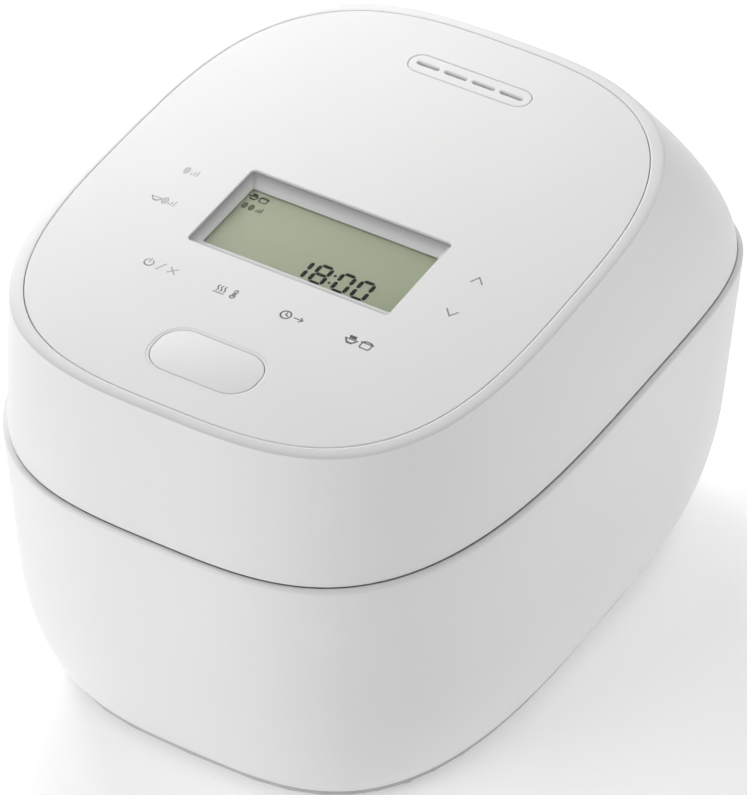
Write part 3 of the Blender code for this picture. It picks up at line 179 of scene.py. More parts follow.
# ---- Outer case -------------------------------------------------------------------------
# The deep white bucket of the body, injection moulded in one piece with a satin grain.
# Its sides lean in a little downwards, roll under to the base and turn in at the top edge.
CASE_COLUMNS = 192
WIDEST_Y = 0.0392
SQUARENESS_FRONT, SQUARENESS_REAR = 3.28, 4.43
SIDE_LEAN, FRONT_LEAN = 0.0177, 0.0777
ROLL_FLAT, ROLL_TALL = 0.0252, 0.0738
TOP_EDGE_RADIUS, CASE_WALL = 0.0024, 0.0020
HALF_SEAM = 0.00035                      # case to the middle of the joint line under the lid
LIP_DEPTH, LIP_SLOPE = 0.0060, 0.0006    # straight inner lip below the top edge
case_low, case_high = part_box("outer_case")
lid_low, lid_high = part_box("lid_shell")
seam_z = case_high.z + HALF_SEAM
white_satin = moulded("white_satin_plastic", (0.83, 0.83, 0.825), 0.42)


def tree_with(name, inputs):
    """An empty Geometry Nodes tree: geometry in and out, and named number inputs."""
    tree = bpy.data.node_groups.new(name, "GeometryNodeTree")
    tree.interface.new_socket("Geometry", in_out="INPUT", socket_type="NodeSocketGeometry")
    tree.interface.new_socket("Geometry", in_out="OUTPUT", socket_type="NodeSocketGeometry")
    for label, kind in inputs:
        tree.interface.new_socket(label, in_out="INPUT", socket_type="NodeSocket" + kind)
    return tree, tree.nodes.new("NodeGroupInput").outputs, tree.nodes.new("NodeGroupOutput").inputs[0]


def calc(tree, operation, *values):
    """One sum on numbers or sockets, and the socket that holds its result."""
    step = tree.nodes.new("ShaderNodeMath")
    step.operation = operation
    for socket, value in zip(step.inputs, values):
        if isinstance(value, (int, float)):
            socket.default_value = value
        else:
            tree.links.new(value, socket)
    return step.outputs[0]


def join_xyz(tree, x, y, z):
    vector = tree.nodes.new("ShaderNodeCombineXYZ")
    for socket, value in zip(vector.inputs, (x, y, z)):
        tree.links.new(value, socket)
    return vector.outputs[0]


def end_tree(tree, geometry, material_socket, out):
    """Realize, finish and hand over."""
    real = tree.nodes.new("GeometryNodeRealizeInstances")
    finish = tree.nodes.new("GeometryNodeSetMaterial")
    tree.links.new(geometry, real.inputs["Geometry"])
    tree.links.new(real.outputs["Geometry"], finish.inputs["Geometry"])
    tree.links.new(material_socket, finish.inputs["Material"])
    tree.links.new(finish.outputs["Geometry"], out)


END_INPUTS = ("Half Width", "Front", "Rear", "Front Squareness", "Rear Squareness", "Middle Y", "Height")


def make_casing_tree():
    """Sweeps a wall section round two rounded outlines, one for each end of the wall. The
    section's points are (inset, share of the way from end A to end B, lift)."""
    inputs = [("Columns", "Int"), ("Rows", "Int")]
    inputs += [(f"{end} {label}", "Float") for end in "AB" for label in END_INPUTS]
    inputs += [(label, "Float") for label in ("A Slope", "Shoulder", "Hinge Y", "Hinge Z", "Swing Radius")]
    inputs += [("Material", "Material")]
    tree, given, out = tree_with("casing", inputs)
    grid = tree.nodes.new("GeometryNodeMeshGrid")
    tree.links.new(calc(tree, "ADD", given["Columns"], 1.0), grid.inputs["Vertices X"])
    tree.links.new(given["Rows"], grid.inputs["Vertices Y"])
    where = tree.nodes.new("ShaderNodeSeparateXYZ")
    tree.links.new(tree.nodes.new("GeometryNodeInputPosition").outputs[0], where.inputs[0])
    turn = calc(tree, "MULTIPLY", calc(tree, "ADD", where.outputs[0], 0.5), 2 * math.pi)
    row = calc(tree, "ROUND", calc(tree, "MULTIPLY", calc(tree, "ADD", where.outputs[1], 0.5),
                                   calc(tree, "SUBTRACT", given["Rows"], 1.0)))
    sample = tree.nodes.new("GeometryNodeSampleIndex")
    sample.data_type = "FLOAT_VECTOR"
    tree.links.new(given["Geometry"], sample.inputs["Geometry"])
    tree.links.new(tree.nodes.new("GeometryNodeInputPosition").outputs[0], sample.inputs["Value"])
    tree.links.new(row, sample.inputs["Index"])
    section = tree.nodes.new("ShaderNodeSeparateXYZ")
    tree.links.new(sample.outputs["Value"], section.inputs[0])
    inset, share, lift = section.outputs
    c, s = calc(tree, "COSINE", turn), calc(tree, "SINE", turn)
    behind = calc(tree, "GREATER_THAN", s, 0.0)

    def pick(end, label):
        front, rear = given[f"{end} Front{label}"], given[f"{end} Rear{label}"]
        return calc(tree, "MULTIPLY_ADD", behind, calc(tree, "SUBTRACT", rear, front), front)

    def outline(end, less):
        square, length = pick(end, " Squareness"), pick(end, "")
        total = calc(tree, "ADD", calc(tree, "POWER", calc(tree, "ABSOLUTE", c), square),
                     calc(tree, "POWER", calc(tree, "ABSOLUTE", s), square))
        reach = calc(tree, "POWER", total, calc(tree, "DIVIDE", -1.0, square))
        x = calc(tree, "MULTIPLY", calc(tree, "SUBTRACT", given[f"{end} Half Width"], less),
                 calc(tree, "MULTIPLY", reach, c))
        y = calc(tree, "MULTIPLY_ADD", calc(tree, "SUBTRACT", length, less),
                 calc(tree, "MULTIPLY", reach, s), given[f"{end} Middle Y"])
        return x, y

    ax, ay = outline("A", inset)
    bx, by = outline("B", inset)
    outside_y = outline("B", 0.0)[1]
    az = calc(tree, "MULTIPLY_ADD", ay, given["A Slope"], given["A Height"])
    past = calc(tree, "MAXIMUM", calc(tree, "SUBTRACT", outside_y, given["Hinge Y"]), 0.0)
    swing = calc(tree, "SUBTRACT", calc(tree, "POWER", given["Swing Radius"], 2.0),
                 calc(tree, "POWER", past, 2.0))
    lowest = calc(tree, "SUBTRACT", given["Hinge Z"], calc(tree, "SQRT", calc(tree, "MAXIMUM", swing, 0.0)))
    trim = calc(tree, "DIVIDE", calc(tree, "SUBTRACT", az, lowest),
                calc(tree, "SUBTRACT", az, given["B Height"]))
    down = calc(tree, "MULTIPLY", share, trim)
    left_over = calc(tree, "MAXIMUM", calc(tree, "SUBTRACT", 1.0, down), 0.0)
    out_share = calc(tree, "SUBTRACT", 1.0, calc(tree, "POWER", left_over, given["Shoulder"]))
    x = calc(tree, "MULTIPLY_ADD", calc(tree, "SUBTRACT", bx, ax), out_share, ax)
    y = calc(tree, "MULTIPLY_ADD", calc(tree, "SUBTRACT", by, ay), out_share, ay)
    z = calc(tree, "ADD", lift, calc(tree, "MULTIPLY_ADD", calc(tree, "SUBTRACT", given["B Height"], az),
                                     down, az))
    move = tree.nodes.new("GeometryNodeSetPosition")
    tree.links.new(grid.outputs["Mesh"], move.inputs["Geometry"])
    tree.links.new(join_xyz(tree, x, y, z), move.inputs["Position"])
    weld = tree.nodes.new("GeometryNodeMergeByDistance")
    weld.inputs["Distance"].default_value = 1e-6
    tree.links.new(move.outputs["Geometry"], weld.inputs["Geometry"])
    end_tree(tree, weld.outputs["Geometry"], given["Material"], out)
    return tree


def run_nodes(name, data, tree, values):
    """Runs a tree on a mesh with its inputs set by name, and keeps the plain result."""
    source = bpy.data.objects.new(name + "_source", data)
    bpy.context.scene.collection.objects.link(source)
    step = source.modifiers.new("nodes", "NODES")
    step.node_group = tree
    for item in tree.interface.items_tree:
        if item.in_out == "INPUT" and item.name in values:
            step[item.identifier] = values[item.name]
    bpy.context.view_layer.update()
    result = bpy.data.meshes.new_from_object(source.evaluated_get(bpy.context.evaluated_depsgraph_get()))
    result.name = name
    bpy.data.objects.remove(source)
    made = bpy.data.objects.new(name, result)
    bpy.context.scene.collection.objects.link(made)
    return made


def smooth(obj, angle=32.0, outwards=True):
    """Smooth faces with sharp creases, normals pointing out."""
    if outwards:
        bm = bmesh.new()
        bm.from_mesh(obj.data)
        bmesh.ops.recalc_face_normals(bm, faces=bm.faces)
        bm.to_mesh(obj.data)
        bm.free()
    obj.data.shade_smooth()
    obj.data.set_sharp_from_angle(angle=math.radians(angle))
    return obj


def stands_for(obj, body, slot, *names):
    """Puts a finished piece on its body in place of its plain solids."""
    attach(obj, body)
    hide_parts(*names)
    return obj


def points_mesh(name, points):
    data = bpy.data.meshes.new(name)
    data.from_pydata([tuple(p) for p in points], [], [])
    return data


def quarter(radius, steps, start, end):
    """(across, along) offsets on an arc, angles in degrees."""
    angles = [math.radians(start + (end - start) * i / steps) for i in range(steps + 1)]
    return [(radius * math.cos(a), radius * math.sin(a)) for a in angles]


casing = make_casing_tree()
proud_half_width, proud_rear = case_high.x, case_high.y - WIDEST_Y
proud_front = WIDEST_Y - case_low.y


def roll_under(z):
    """How far the wall has rolled in at a height."""
    if z >= ROLL_TALL:
        return 0.0
    return ROLL_FLAT * (1 - math.sqrt(1 - ((ROLL_TALL - z) / ROLL_TALL) ** 2))


case_heights = [case_low.z + (ROLL_TALL - case_low.z) * (i / 16) ** 1.3 for i in range(17)]
case_heights += [ROLL_TALL + (case_high.z - TOP_EDGE_RADIUS - ROLL_TALL) * i / 8 for i in range(1, 9)]
case_section = [(roll_under(z), z) for z in case_heights]
case_section += [(TOP_EDGE_RADIUS - across, case_high.z - TOP_EDGE_RADIUS + along)
                 for across, along in quarter(TOP_EDGE_RADIUS, 6, 15, 90)]
lip_inset = TOP_EDGE_RADIUS + 0.0002
case_section += [(lip_inset, case_high.z - 0.0002), (lip_inset, case_high.z - LIP_DEPTH),
                 (CASE_WALL, case_high.z - LIP_DEPTH - LIP_SLOPE)]
case_section += [(roll_under(z) + CASE_WALL, z) for z in reversed(case_heights[:-2:2])]
case_section.append(case_section[0])
outer_case = run_nodes("outer_case_moulding",
                       points_mesh("case_section", [(inset, z / seam_z, 0.0) for inset, z in case_section]),
                       casing, {
    "Columns": CASE_COLUMNS, "Rows": len(case_section), "Material": white_satin,
    "A Half Width": proud_half_width - SIDE_LEAN * seam_z, "A Front": proud_front - FRONT_LEAN * seam_z,
    "A Rear": proud_rear - SIDE_LEAN * seam_z, "A Front Squareness": SQUARENESS_FRONT,
    "A Rear Squareness": SQUARENESS_FRONT, "A Middle Y": WIDEST_Y, "A Height": 0.0, "A Slope": 0.0,
    "B Half Width": proud_half_width, "B Front": proud_front, "B Rear": proud_rear,
    "B Front Squareness": SQUARENESS_FRONT, "B Rear Squareness": SQUARENESS_REAR,
    "B Middle Y": WIDEST_Y, "B Height": seam_z, "Shoulder": 1.0,
    "Hinge Y": 1.0, "Hinge Z": seam_z + 0.01, "Swing Radius": 0.01})


def to_object(bm, name, *materials):
    """Turns finished working geometry into a piece in the scene."""
    data = bpy.data.meshes.new(name)
    bm.to_mesh(data)
    bm.free()
    for found in materials:
        data.materials.append(found)
    obj = bpy.data.objects.new(name, data)
    bpy.context.scene.collection.objects.link(obj)
    return obj


def lathe(name, section, centre, material, steps=96):
    """Turns a closed section of (radius, height) points round a vertical axis."""
    bm = bmesh.new()
    verts = [bm.verts.new((r, 0.0, z)) for r, z in section]
    edges = [bm.edges.new((a, b)) for a, b in zip(verts, verts[1:])]
    if section[0][0] > 0 or section[-1][0] > 0:
        edges.append(bm.edges.new((verts[-1], verts[0])))
    bmesh.ops.spin(bm, geom=verts + edges, axis=(0, 0, 1), cent=(0, 0, 0), steps=steps,
                   angle=2 * math.pi, use_duplicate=False)
    bmesh.ops.remove_doubles(bm, verts=bm.verts, dist=1e-6)
    bmesh.ops.translate(bm, vec=centre, verts=bm.verts)
    return smooth(to_object(bm, name, material))


def bore(obj, name, radius, length, centre, axis):
    """Cuts a round hole through a piece."""
    bm = bmesh.new()
    bmesh.ops.create_cone(bm, cap_ends=True, segments=48, radius1=radius, radius2=radius, depth=length)
    turn = Matrix.Rotation(math.pi / 2, 4, "X") if axis == "Y" else Matrix()
    bmesh.ops.transform(bm, matrix=Matrix.Translation(centre) @ turn, verts=bm.verts)
    apply_cut(obj, to_object(bm, name))


def apply_cut(obj, tool):
    """Takes a tool's shape out of a piece and throws the tool away."""
    step = obj.modifiers.new("cut", "BOOLEAN")
    step.operation, step.solver, step.object = "DIFFERENCE", "EXACT", tool
    bpy.context.view_layer.update()
    result = bpy.data.meshes.new_from_object(obj.evaluated_get(bpy.context.evaluated_depsgraph_get()))
    obj.modifiers.clear()
    obj.data = result
    bpy.data.objects.remove(tool)


# Painted seam shade: a near-black finish for the case's inward faces and the lid wall's lower edge, standing in
# for the shadow in the joint line under the lid.
painted_seam_shade = moulded("painted_seam_shade_plastic", (0.045, 0.045, 0.05), 0.7, 900.0, 0.00003, 0.9)


def paint_seam_shade(obj):
    """Gives the faces that look in towards the middle a near-black painted shade, so the joint line under the lid
    reads as a dark shadow gap, though the real faces are likely white.
    """
    obj.data.materials.append(painted_seam_shade)
    for face in obj.data.polygons:
        if face.normal.xy.dot(face.center.xy.normalized()) < -0.5:
            face.material_index = 1


cord_low, cord_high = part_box("cord_outlet")
cord_centre = (cord_low + cord_high) / 2
smooth(outer_case)
grommet_radius, grommet_length = (cord_high.x - cord_low.x) / 2, cord_high.y - cord_low.y
bore(outer_case, "cord_hole", grommet_radius + 0.0003, 3 * grommet_length, cord_centre, "Y")
smooth(outer_case, outwards=False)
paint_seam_shade(outer_case)
stands_for(outer_case, "base", "white_shell", "outer_case")


# ---- Lid shell --------------------------------------------------------------------------
# The white ring of the lid, moulded in one piece: a bright rounded rim round the top
# plate's pocket, a wall that swells out to the seam, and a rounded shoulder at the back.
PLATE_SLOPE = 0.0419
PLATE_MIDDLE_Y = -0.0121
PLATE_FRONT_SQUARENESS, PLATE_REAR_SQUARENESS = 3.21, 3.00
RIM_WIDTH, RIM_DROP, LEDGE_WIDTH, POCKET_WALL = 0.0061, 0.0013, 0.0050, 0.0021
LID_WALL, POCKET_DEPTH, SHOULDER = 0.0016, 0.0028, 1.5
LID_LIFT = 0.00045                       # wall's lower edge above the middle of the joint line
SKIN_DEPTH, POCKET_FLOOR = 0.0040, 0.0022    # under the rim, and under the plate's pocket
plate_low, plate_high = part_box("top_plate")
plate_half_width = plate_high.x
plate_front, plate_rear = PLATE_MIDDLE_Y - plate_low.y, plate_high.y - PLATE_MIDDLE_Y
plate_z = plate_high.z - PLATE_SLOPE * plate_high.y       # top plate's face over the origin
hinge_at = Vector(next(j["pos_m"] for j in frame["joints"] if j["name"] == "lid_hinge"))
lid_bottom = seam_z + LID_LIFT

# The rim: inset from the rim's outer edge, share down the wall, lift above the plate's plane.
rim_section = [(RIM_WIDTH + LEDGE_WIDTH, 0.0, -POCKET_DEPTH), (RIM_WIDTH - 0.0003, 0.0, -POCKET_DEPTH),
               (RIM_WIDTH - 0.0003, 0.0, -0.0005), (RIM_WIDTH - 0.0004, 0.0, -0.0002),
               (RIM_WIDTH - 0.0007, 0.0, -0.00005)]
rim_section += [(RIM_WIDTH * (1 - k), 0.0, -0.0001 - RIM_DROP * (1 - math.sqrt(1 - (0.93 * k) ** 3)))
                for k in (0.25, 0.4, 0.55, 0.68, 0.79, 0.88, 0.95, 1.0)]
rim_foot = rim_section[-1][2]
wall_shares = [0.012 + 0.985 * (i / 22) ** 1.15 for i in range(23)]
rim_section += [(0.0, share, rim_foot * (1 - share)) for share in wall_shares]
rim_section += [(0.0003, 1.0, 0.0), (LID_WALL - 0.0003, 1.0, 0.0), (LID_WALL, 0.996, 0.0)]
rim_section += [(LID_WALL, share, rim_foot * (1 - share)) for share in reversed(wall_shares[1:-1:3])]
rim_section += [(LID_WALL, 0.0, -SKIN_DEPTH), (RIM_WIDTH - POCKET_WALL, 0.0, -SKIN_DEPTH),
                (RIM_WIDTH - POCKET_WALL, 0.0, -POCKET_DEPTH - POCKET_FLOOR),
                (RIM_WIDTH + LEDGE_WIDTH, 0.0, -POCKET_DEPTH - POCKET_FLOOR)]
rim_section.append(rim_section[0])
lid_shell = run_nodes("lid_shell_moulding", points_mesh("rim_section", rim_section), casing, {
    "Columns": CASE_COLUMNS, "Rows": len(rim_section), "Material": white_satin,
    "A Half Width": plate_half_width + RIM_WIDTH, "A Front": plate_front + RIM_WIDTH,
    "A Rear": plate_rear + RIM_WIDTH, "A Front Squareness": PLATE_FRONT_SQUARENESS,
    "A Rear Squareness": PLATE_REAR_SQUARENESS, "A Middle Y": PLATE_MIDDLE_Y,
    "A Height": plate_z, "A Slope": PLATE_SLOPE,
    "B Half Width": lid_high.x, "B Front": WIDEST_Y - lid_low.y, "B Rear": lid_high.y - WIDEST_Y,
    "B Front Squareness": SQUARENESS_FRONT, "B Rear Squareness": SQUARENESS_REAR,
    "B Middle Y": WIDEST_Y, "B Height": lid_bottom, "Shoulder": SHOULDER,
    "Hinge Y": hinge_at.y, "Hinge Z": hinge_at.z, "Swing Radius": hinge_at.z - lid_bottom})
smooth(lid_shell)
# The downward faces at the lid wall's lower edge get the painted seam shade too.
lid_shell.data.materials.append(painted_seam_shade)
for face in lid_shell.data.polygons:
    if face.center.z < lid_bottom + 0.0005 and face.normal.z < -0.9:
        face.material_index = 1
stands_for(lid_shell, "lid", "white_shell", "lid_shell")


# ---- Top plate --------------------------------------------------------------------------
# A flat white plate with a touch of gloss, pressed into the lid's pocket. Its edge and the
# cut-outs for the window, the button and the steam cap are softly broken.
PLATE_THICKNESS = 0.0025
EDGE_BREAK = 0.00035
white_plate = moulded("white_plate_plastic", (0.85, 0.85, 0.845), 0.47, 1800.0, 0.000012)
deck = Matrix.Translation((0.0, 0.0, plate_z)) @ Matrix.Rotation(math.atan(PLATE_SLOPE), 4, "X")


def outline_points(half_width, front, rear, front_square, rear_square, middle_y, count=160):
    points = []
    for i in range(count):
        c, s = math.cos(2 * math.pi * i / count), math.sin(2 * math.pi * i / count)
        square, length = (rear_square, rear) if s > 0 else (front_square, front)
        reach = (abs(c) ** square + abs(s) ** square) ** (-1 / square)
        points.append((half_width * reach * c, middle_y + length * reach * s))
    return points


def rounded_box(size, radius, centre=(0.0, 0.0), steps=8):
    points = []
    for turn, (sx, sy) in enumerate(((1, 1), (-1, 1), (-1, -1), (1, -1))):
        for i in range(steps + 1):
            angle = math.pi / 2 * (turn + i / steps)
            points.append((centre[0] + sx * (size[0] / 2 - radius) + radius * math.cos(angle),
                           centre[1] + sy * (size[1] / 2 - radius) + radius * math.sin(angle)))
    return points


def ring_points(radius, centre, count=40):
    return [(centre[0] + radius * math.cos(2 * math.pi * i / count),
             centre[1] + radius * math.sin(2 * math.pi * i / count)) for i in range(count)]


def sheet_cut(name, outlines, thickness, bottom, material, edge=EDGE_BREAK, place=Matrix()):
    """A flat part cut to an outline with holes, its edges softly rounded."""
    data = bpy.data.curves.new(name, "CURVE")
    data.dimensions, data.fill_mode = "2D", "BOTH"
    data.extrude = thickness / 2 - edge
    data.bevel_depth, data.bevel_resolution = edge, 2
    data.offset = -edge
    for points in outlines:
        spline = data.splines.new("POLY")
        spline.points.add(len(points) - 1)
        for spot, (x, y) in zip(spline.points, points):
            spot.co = (x, y, 0.0, 1.0)
        spline.use_cyclic_u = True
    curve = bpy.data.objects.new(name + "_curve", data)
    bpy.context.scene.collection.objects.link(curve)
    bpy.context.view_layer.update()
    mesh = bpy.data.meshes.new_from_object(curve.evaluated_get(bpy.context.evaluated_depsgraph_get()))
    bpy.data.objects.remove(curve)
    bm = bmesh.new()
    bm.from_mesh(mesh)
    bpy.data.meshes.remove(mesh)
    bmesh.ops.remove_doubles(bm, verts=bm.verts, dist=1e-6)
    shift = Matrix.Translation((0.0, 0.0, bottom + thickness / 2))
    bmesh.ops.transform(bm, matrix=place @ shift, verts=bm.verts)
    return keep_flat(smooth(to_object(bm, name, material), 40.0), place)


def keep_flat(obj, place):
    """Creases the edges of the flat top and bottom, so that their shading stays even."""
    level = (place.to_3x3() @ Vector((0.0, 0.0, 1.0))).normalized()
    bm = bmesh.new()
    bm.from_mesh(obj.data)
    bm.normal_update()
    for edge in bm.edges:
        flat = [abs(face.normal.dot(level)) > 0.9999 for face in edge.link_faces]
        if len(flat) == 2 and flat[0] != flat[1]:
            edge.smooth = False
    bm.to_mesh(obj.data)
    bm.free()
    return obj


WINDOW, WINDOW_CORNER, WINDOW_Y = (0.1064, 0.0566), 0.0025, -0.0361
BUTTON_WELL, BUTTON_WELL_CORNER, BUTTON_Y = (0.0562, 0.0311), 0.0137, -0.1301
BUTTON_HOLE, BUTTON_HOLE_CORNER = (0.0537, 0.0286), 0.0126
STEAM_CAP, STEAM_CAP_Y = (0.0650, 0.0130), 0.0972
FIT = 0.0003


def grown(size, margin):
    return (size[0] + 2 * margin, size[1] + 2 * margin)


def skin(name, rings, material, closed=False, place=Matrix(), crease=32.0):
    """Skins a run of rings with equal counts of points. Closed joins the last to the first."""
    bm = bmesh.new()
    rows = [[bm.verts.new(p) for p in ring] for ring in rings]
    for low, high in zip(rows, rows[1:] + (rows[:1] if closed else [])):
        for i in range(len(low)):
            bm.faces.new((low[i - 1], low[i], high[i], high[i - 1]))
    if not closed:
        bm.faces.new(rows[0])
        bm.faces.new(rows[-1])
    bmesh.ops.transform(bm, matrix=place, verts=bm.verts)
    return smooth(to_object(bm, name, material), crease)


def box_ring(size, radius, z, centre=(0.0, 0.0), steps=8):
    return [(x, y, z) for x, y in rounded_box(size, radius, centre, steps)]


def join(main, *others):
    """Adds other objects' meshes to the first, which keeps its name."""
    bm = bmesh.new()
    bm.from_mesh(main.data)
    for other in others:
        for found in other.data.materials:
            if found.name not in main.data.materials:
                main.data.materials.append(found)
        first = len(bm.faces)
        bm.from_mesh(other.data)
        bm.faces.ensure_lookup_table()
        slots = [main.data.materials.find(found.name) for found in other.data.materials]
        for face in bm.faces[first:]:
            face.material_index = slots[face.material_index]
        bpy.data.objects.remove(other)
    bm.to_mesh(main.data)
    bm.free()
    return main


plate_line = outline_points(plate_half_width, plate_front, plate_rear, PLATE_FRONT_SQUARENESS,
                            PLATE_REAR_SQUARENESS, PLATE_MIDDLE_Y)
top_plate = sheet_cut("top_plate_panel",
                      [plate_line, rounded_box(WINDOW, WINDOW_CORNER, (0.0, WINDOW_Y)),
                       rounded_box(BUTTON_WELL, BUTTON_WELL_CORNER, (0.0, BUTTON_Y), 16),
                       rounded_box(grown(STEAM_CAP, FIT), STEAM_CAP[1] / 2 + FIT, (0.0, STEAM_CAP_Y), 12)],
                      PLATE_THICKNESS, -PLATE_THICKNESS, white_plate, place=deck)
well = (0.0, BUTTON_Y)
well_rings = [box_ring(BUTTON_WELL, BUTTON_WELL_CORNER, -0.00008, well, 16),
              box_ring(grown(BUTTON_HOLE, 0.0002), BUTTON_HOLE_CORNER + 0.0002, -0.00018, well, 16),
              box_ring(BUTTON_HOLE, BUTTON_HOLE_CORNER, -0.00040, well, 16),
              box_ring(BUTTON_HOLE, BUTTON_HOLE_CORNER, -PLATE_THICKNESS, well, 16),
              box_ring(BUTTON_WELL, BUTTON_WELL_CORNER, -PLATE_THICKNESS, well, 16)]
join(top_plate, skin("button_well", well_rings, white_plate, closed=True, place=deck))
keep_flat(smooth(top_plate, 40.0, outwards=False), deck)
stands_for(top_plate, "lid", "top_white", "top_plate")


# ---- Printing on the top plate --------------------------------------------------------------
# Thin grey pad-printed marks: four touch signs in front of the window, two at its left and
# the up and down arrows at its right. Each is a plain sign of strokes.
INK_HEIGHT, INK_LIFT = 0.00002, 0.00001
SIGN_SCALE, PALE_SCALE, ARROW_SCALE = 0.00130, 0.00118, 0.00085
SIGN_Y = -0.0864
ink_grey = moulded("print_grey", (0.22, 0.22, 0.22), 0.6, 900.0, 0.00001)
ink_pale = moulded("print_pale_grey", (0.44, 0.44, 0.44), 0.6, 900.0, 0.00001)


def arc_line(radius, start, end, centre=(0.0, 0.0), squash=1.0, steps=14):
    """Points on an arc, angles in degrees, sizes in millimetres."""
    angles = [math.radians(start + (end - start) * i / steps) for i in range(steps + 1)]
    return [(centre[0] + radius * math.cos(a), centre[1] + squash * radius * math.sin(a)) for a in angles]


def wave_line(x, low, high, sway):
    """Points on an upright wave, sizes in millimetres."""
    return [(x + sway * math.sin(2 * math.pi * i / 12), low + (high - low) * i / 12) for i in range(13)]


def draw(bm, lines, centre, width, height=INK_HEIGHT, lift=INK_LIFT, scale=0.001):
    """Lays each line down as flat bars with square ends."""
    for line in lines:
        for (ax, ay), (bx, by) in zip(line, line[1:]):
            start, end = Vector((ax, ay, 0.0)) * scale, Vector((bx, by, 0.0)) * scale
            along = (end - start).normalized() * width / 2
            side = Vector((-along.y, along.x, 0.0))
            corners = [start - along - side, end + along - side, end + along + side, start - along + side]
            shift = Vector((centre[0], centre[1], lift))
            low = [bm.verts.new(c + shift) for c in corners]
            high = [bm.verts.new(c + shift + Vector((0.0, 0.0, height))) for c in corners]
            bm.faces.new(high)
            bm.faces.new(low[::-1])
            for i in range(4):
                bm.faces.new((low[i - 1], low[i], high[i], high[i - 1]))


def marks(name, groups, material, place):
    """One mesh of drawn signs; each group is (lines, centre, stroke width, scale)."""
    bm = bmesh.new()
    for lines, centre, width, scale in groups:
        draw(bm, lines, centre, width, scale=scale)
    bmesh.ops.transform(bm, matrix=place, verts=bm.verts)
    return to_object(bm, name, material)


BOWL = [arc_line(2.0, 180, 360, (0, 0.3), 0.9), [(-2.3, 0.3), (2.3, 0.3)], [(-0.9, -1.75), (0.9, -1.75)]]
STEAM = [wave_line(x, 0.9, 2.1, 0.22) for x in (-0.9, 0.0, 0.9)]
OFF_SIGN = [arc_line(1.7, 125, 415, (0, -0.1)), [(0, 0.2), (0, 2.0)]]
SLASH = [[(-0.9, -1.9), (0.9, 1.9)]]
CROSS = [[(-1.4, -1.4), (1.4, 1.4)], [(-1.4, 1.4), (1.4, -1.4)]]
WARM = [wave_line(x, -0.9, 1.9, 0.35) for x in (-1.4, 0.0, 1.4)] + [[(-2.0, -1.8), (2.0, -1.8)]]
THERMOMETER = [[(-0.5, -0.6), (-0.5, 1.9)], [(0.5, -0.6), (0.5, 1.9)], arc_line(0.5, 0, 180, (0, 1.8)),
               arc_line(0.85, 125, 415, (0, -1.15)), [(0, -1.1), (0, 0.9)]]
CLOCK = [arc_line(1.9, 0, 360, (0, 0), 1.0, 24), [(0, 1.1), (0, 0), (0.9, -0.4)]]
TIMER_ARROW = [[(-1.6, 0), (1.6, 0)], [(0.6, 1.0), (1.6, 0), (0.6, -1.0)]]
POT = [[(-1.9, 0.9), (-1.9, -1.3), (-1.4, -1.8), (1.4, -1.8), (1.9, -1.3), (1.9, 0.9)],
       [(-2.3, 0.9), (2.3, 0.9)], arc_line(1.9, 0, 180, (0, 0.9), 0.45)]
GRAIN = [arc_line(1.0, 0, 360, (0, 0), 1.75, 16), [(0, -0.9), (0, 0.8)]]
UP, DOWN = [[(-2.9, -1.9), (-0.6, 3.1), (3.4, -1.2)]], [[(-3.4, 1.9), (0.6, -2.6), (3.4, 1.9)]]
BARS = [[(-1.2, -1.4), (-1.2, -0.5)], [(0, -1.4), (0, 0.5)], [(1.2, -1.4), (1.2, 1.4)]]
SIGNS = (  # sign, distance to the right, distance to the rear, stroke width, scale
    (WARM, -0.0206, SIGN_Y, 0.00056, SIGN_SCALE), (THERMOMETER, -0.0137, SIGN_Y, 0.00056, SIGN_SCALE),
    (CLOCK, 0.0136, SIGN_Y, 0.00070, SIGN_SCALE), (TIMER_ARROW, 0.0202, SIGN_Y, 0.00070, SIGN_SCALE),
    (BOWL + STEAM, 0.0475, SIGN_Y, 0.00076, SIGN_SCALE), (POT, 0.0552, SIGN_Y, 0.00076, SIGN_SCALE),
    (UP, 0.0758, -0.0247, 0.00064, ARROW_SCALE), (DOWN, 0.0762, -0.0489, 0.00064, ARROW_SCALE))
PALE_SIGNS = (
    (OFF_SIGN, -0.0588, SIGN_Y, 0.00066, SIGN_SCALE),
    (SLASH, -0.0524, SIGN_Y, 0.00066, SIGN_SCALE),
    (CROSS, -0.0462, SIGN_Y, 0.00066, SIGN_SCALE),
    (GRAIN, -0.0790, -0.0238, 0.00050, PALE_SCALE), (BARS, -0.0745, -0.0238, 0.00050, PALE_SCALE),
    (BOWL, -0.0805, -0.0468, 0.00050, PALE_SCALE), (GRAIN, -0.0760, -0.0468, 0.00050, PALE_SCALE),
    (BARS, -0.0722, -0.0468, 0.00050, PALE_SCALE))
signs = marks("printed_signs", [(lines, (x, y), stroke, scale) for lines, x, y, stroke, scale in SIGNS],
              ink_grey, deck)
join(signs, marks("pale_signs", [(lines, (x, y), stroke, scale) for lines, x, y, stroke, scale in PALE_SIGNS],
                  ink_pale, deck))
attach(signs, "lid")


# ---- Display ----------------------------------------------------------------------------
# A liquid crystal panel lies at the bottom of a pale funnel-shaped surround, under a clear
# pane that is glued flush into the top plate. The panel shows a clock in bar segments.
LCD_VIEW, LCD_MIDDLE_Y, LCD_DEPTH = (0.0988, 0.0426), -0.0357, 0.0055
PANE_THICKNESS = 0.0010
PANEL, PANEL_TOP, PANEL_BOTTOM = (0.1030, 0.0490), LCD_DEPTH + 0.0004, LCD_DEPTH + 0.0028
BARS_LOW, BAR_HEIGHT, ICON_STROKE = -LCD_DEPTH - 0.00038, 0.00003, 0.00050
surround_grey, surround_tree, surround_shader = new_material("display_surround", (0.70, 0.70, 0.71), 0.5)
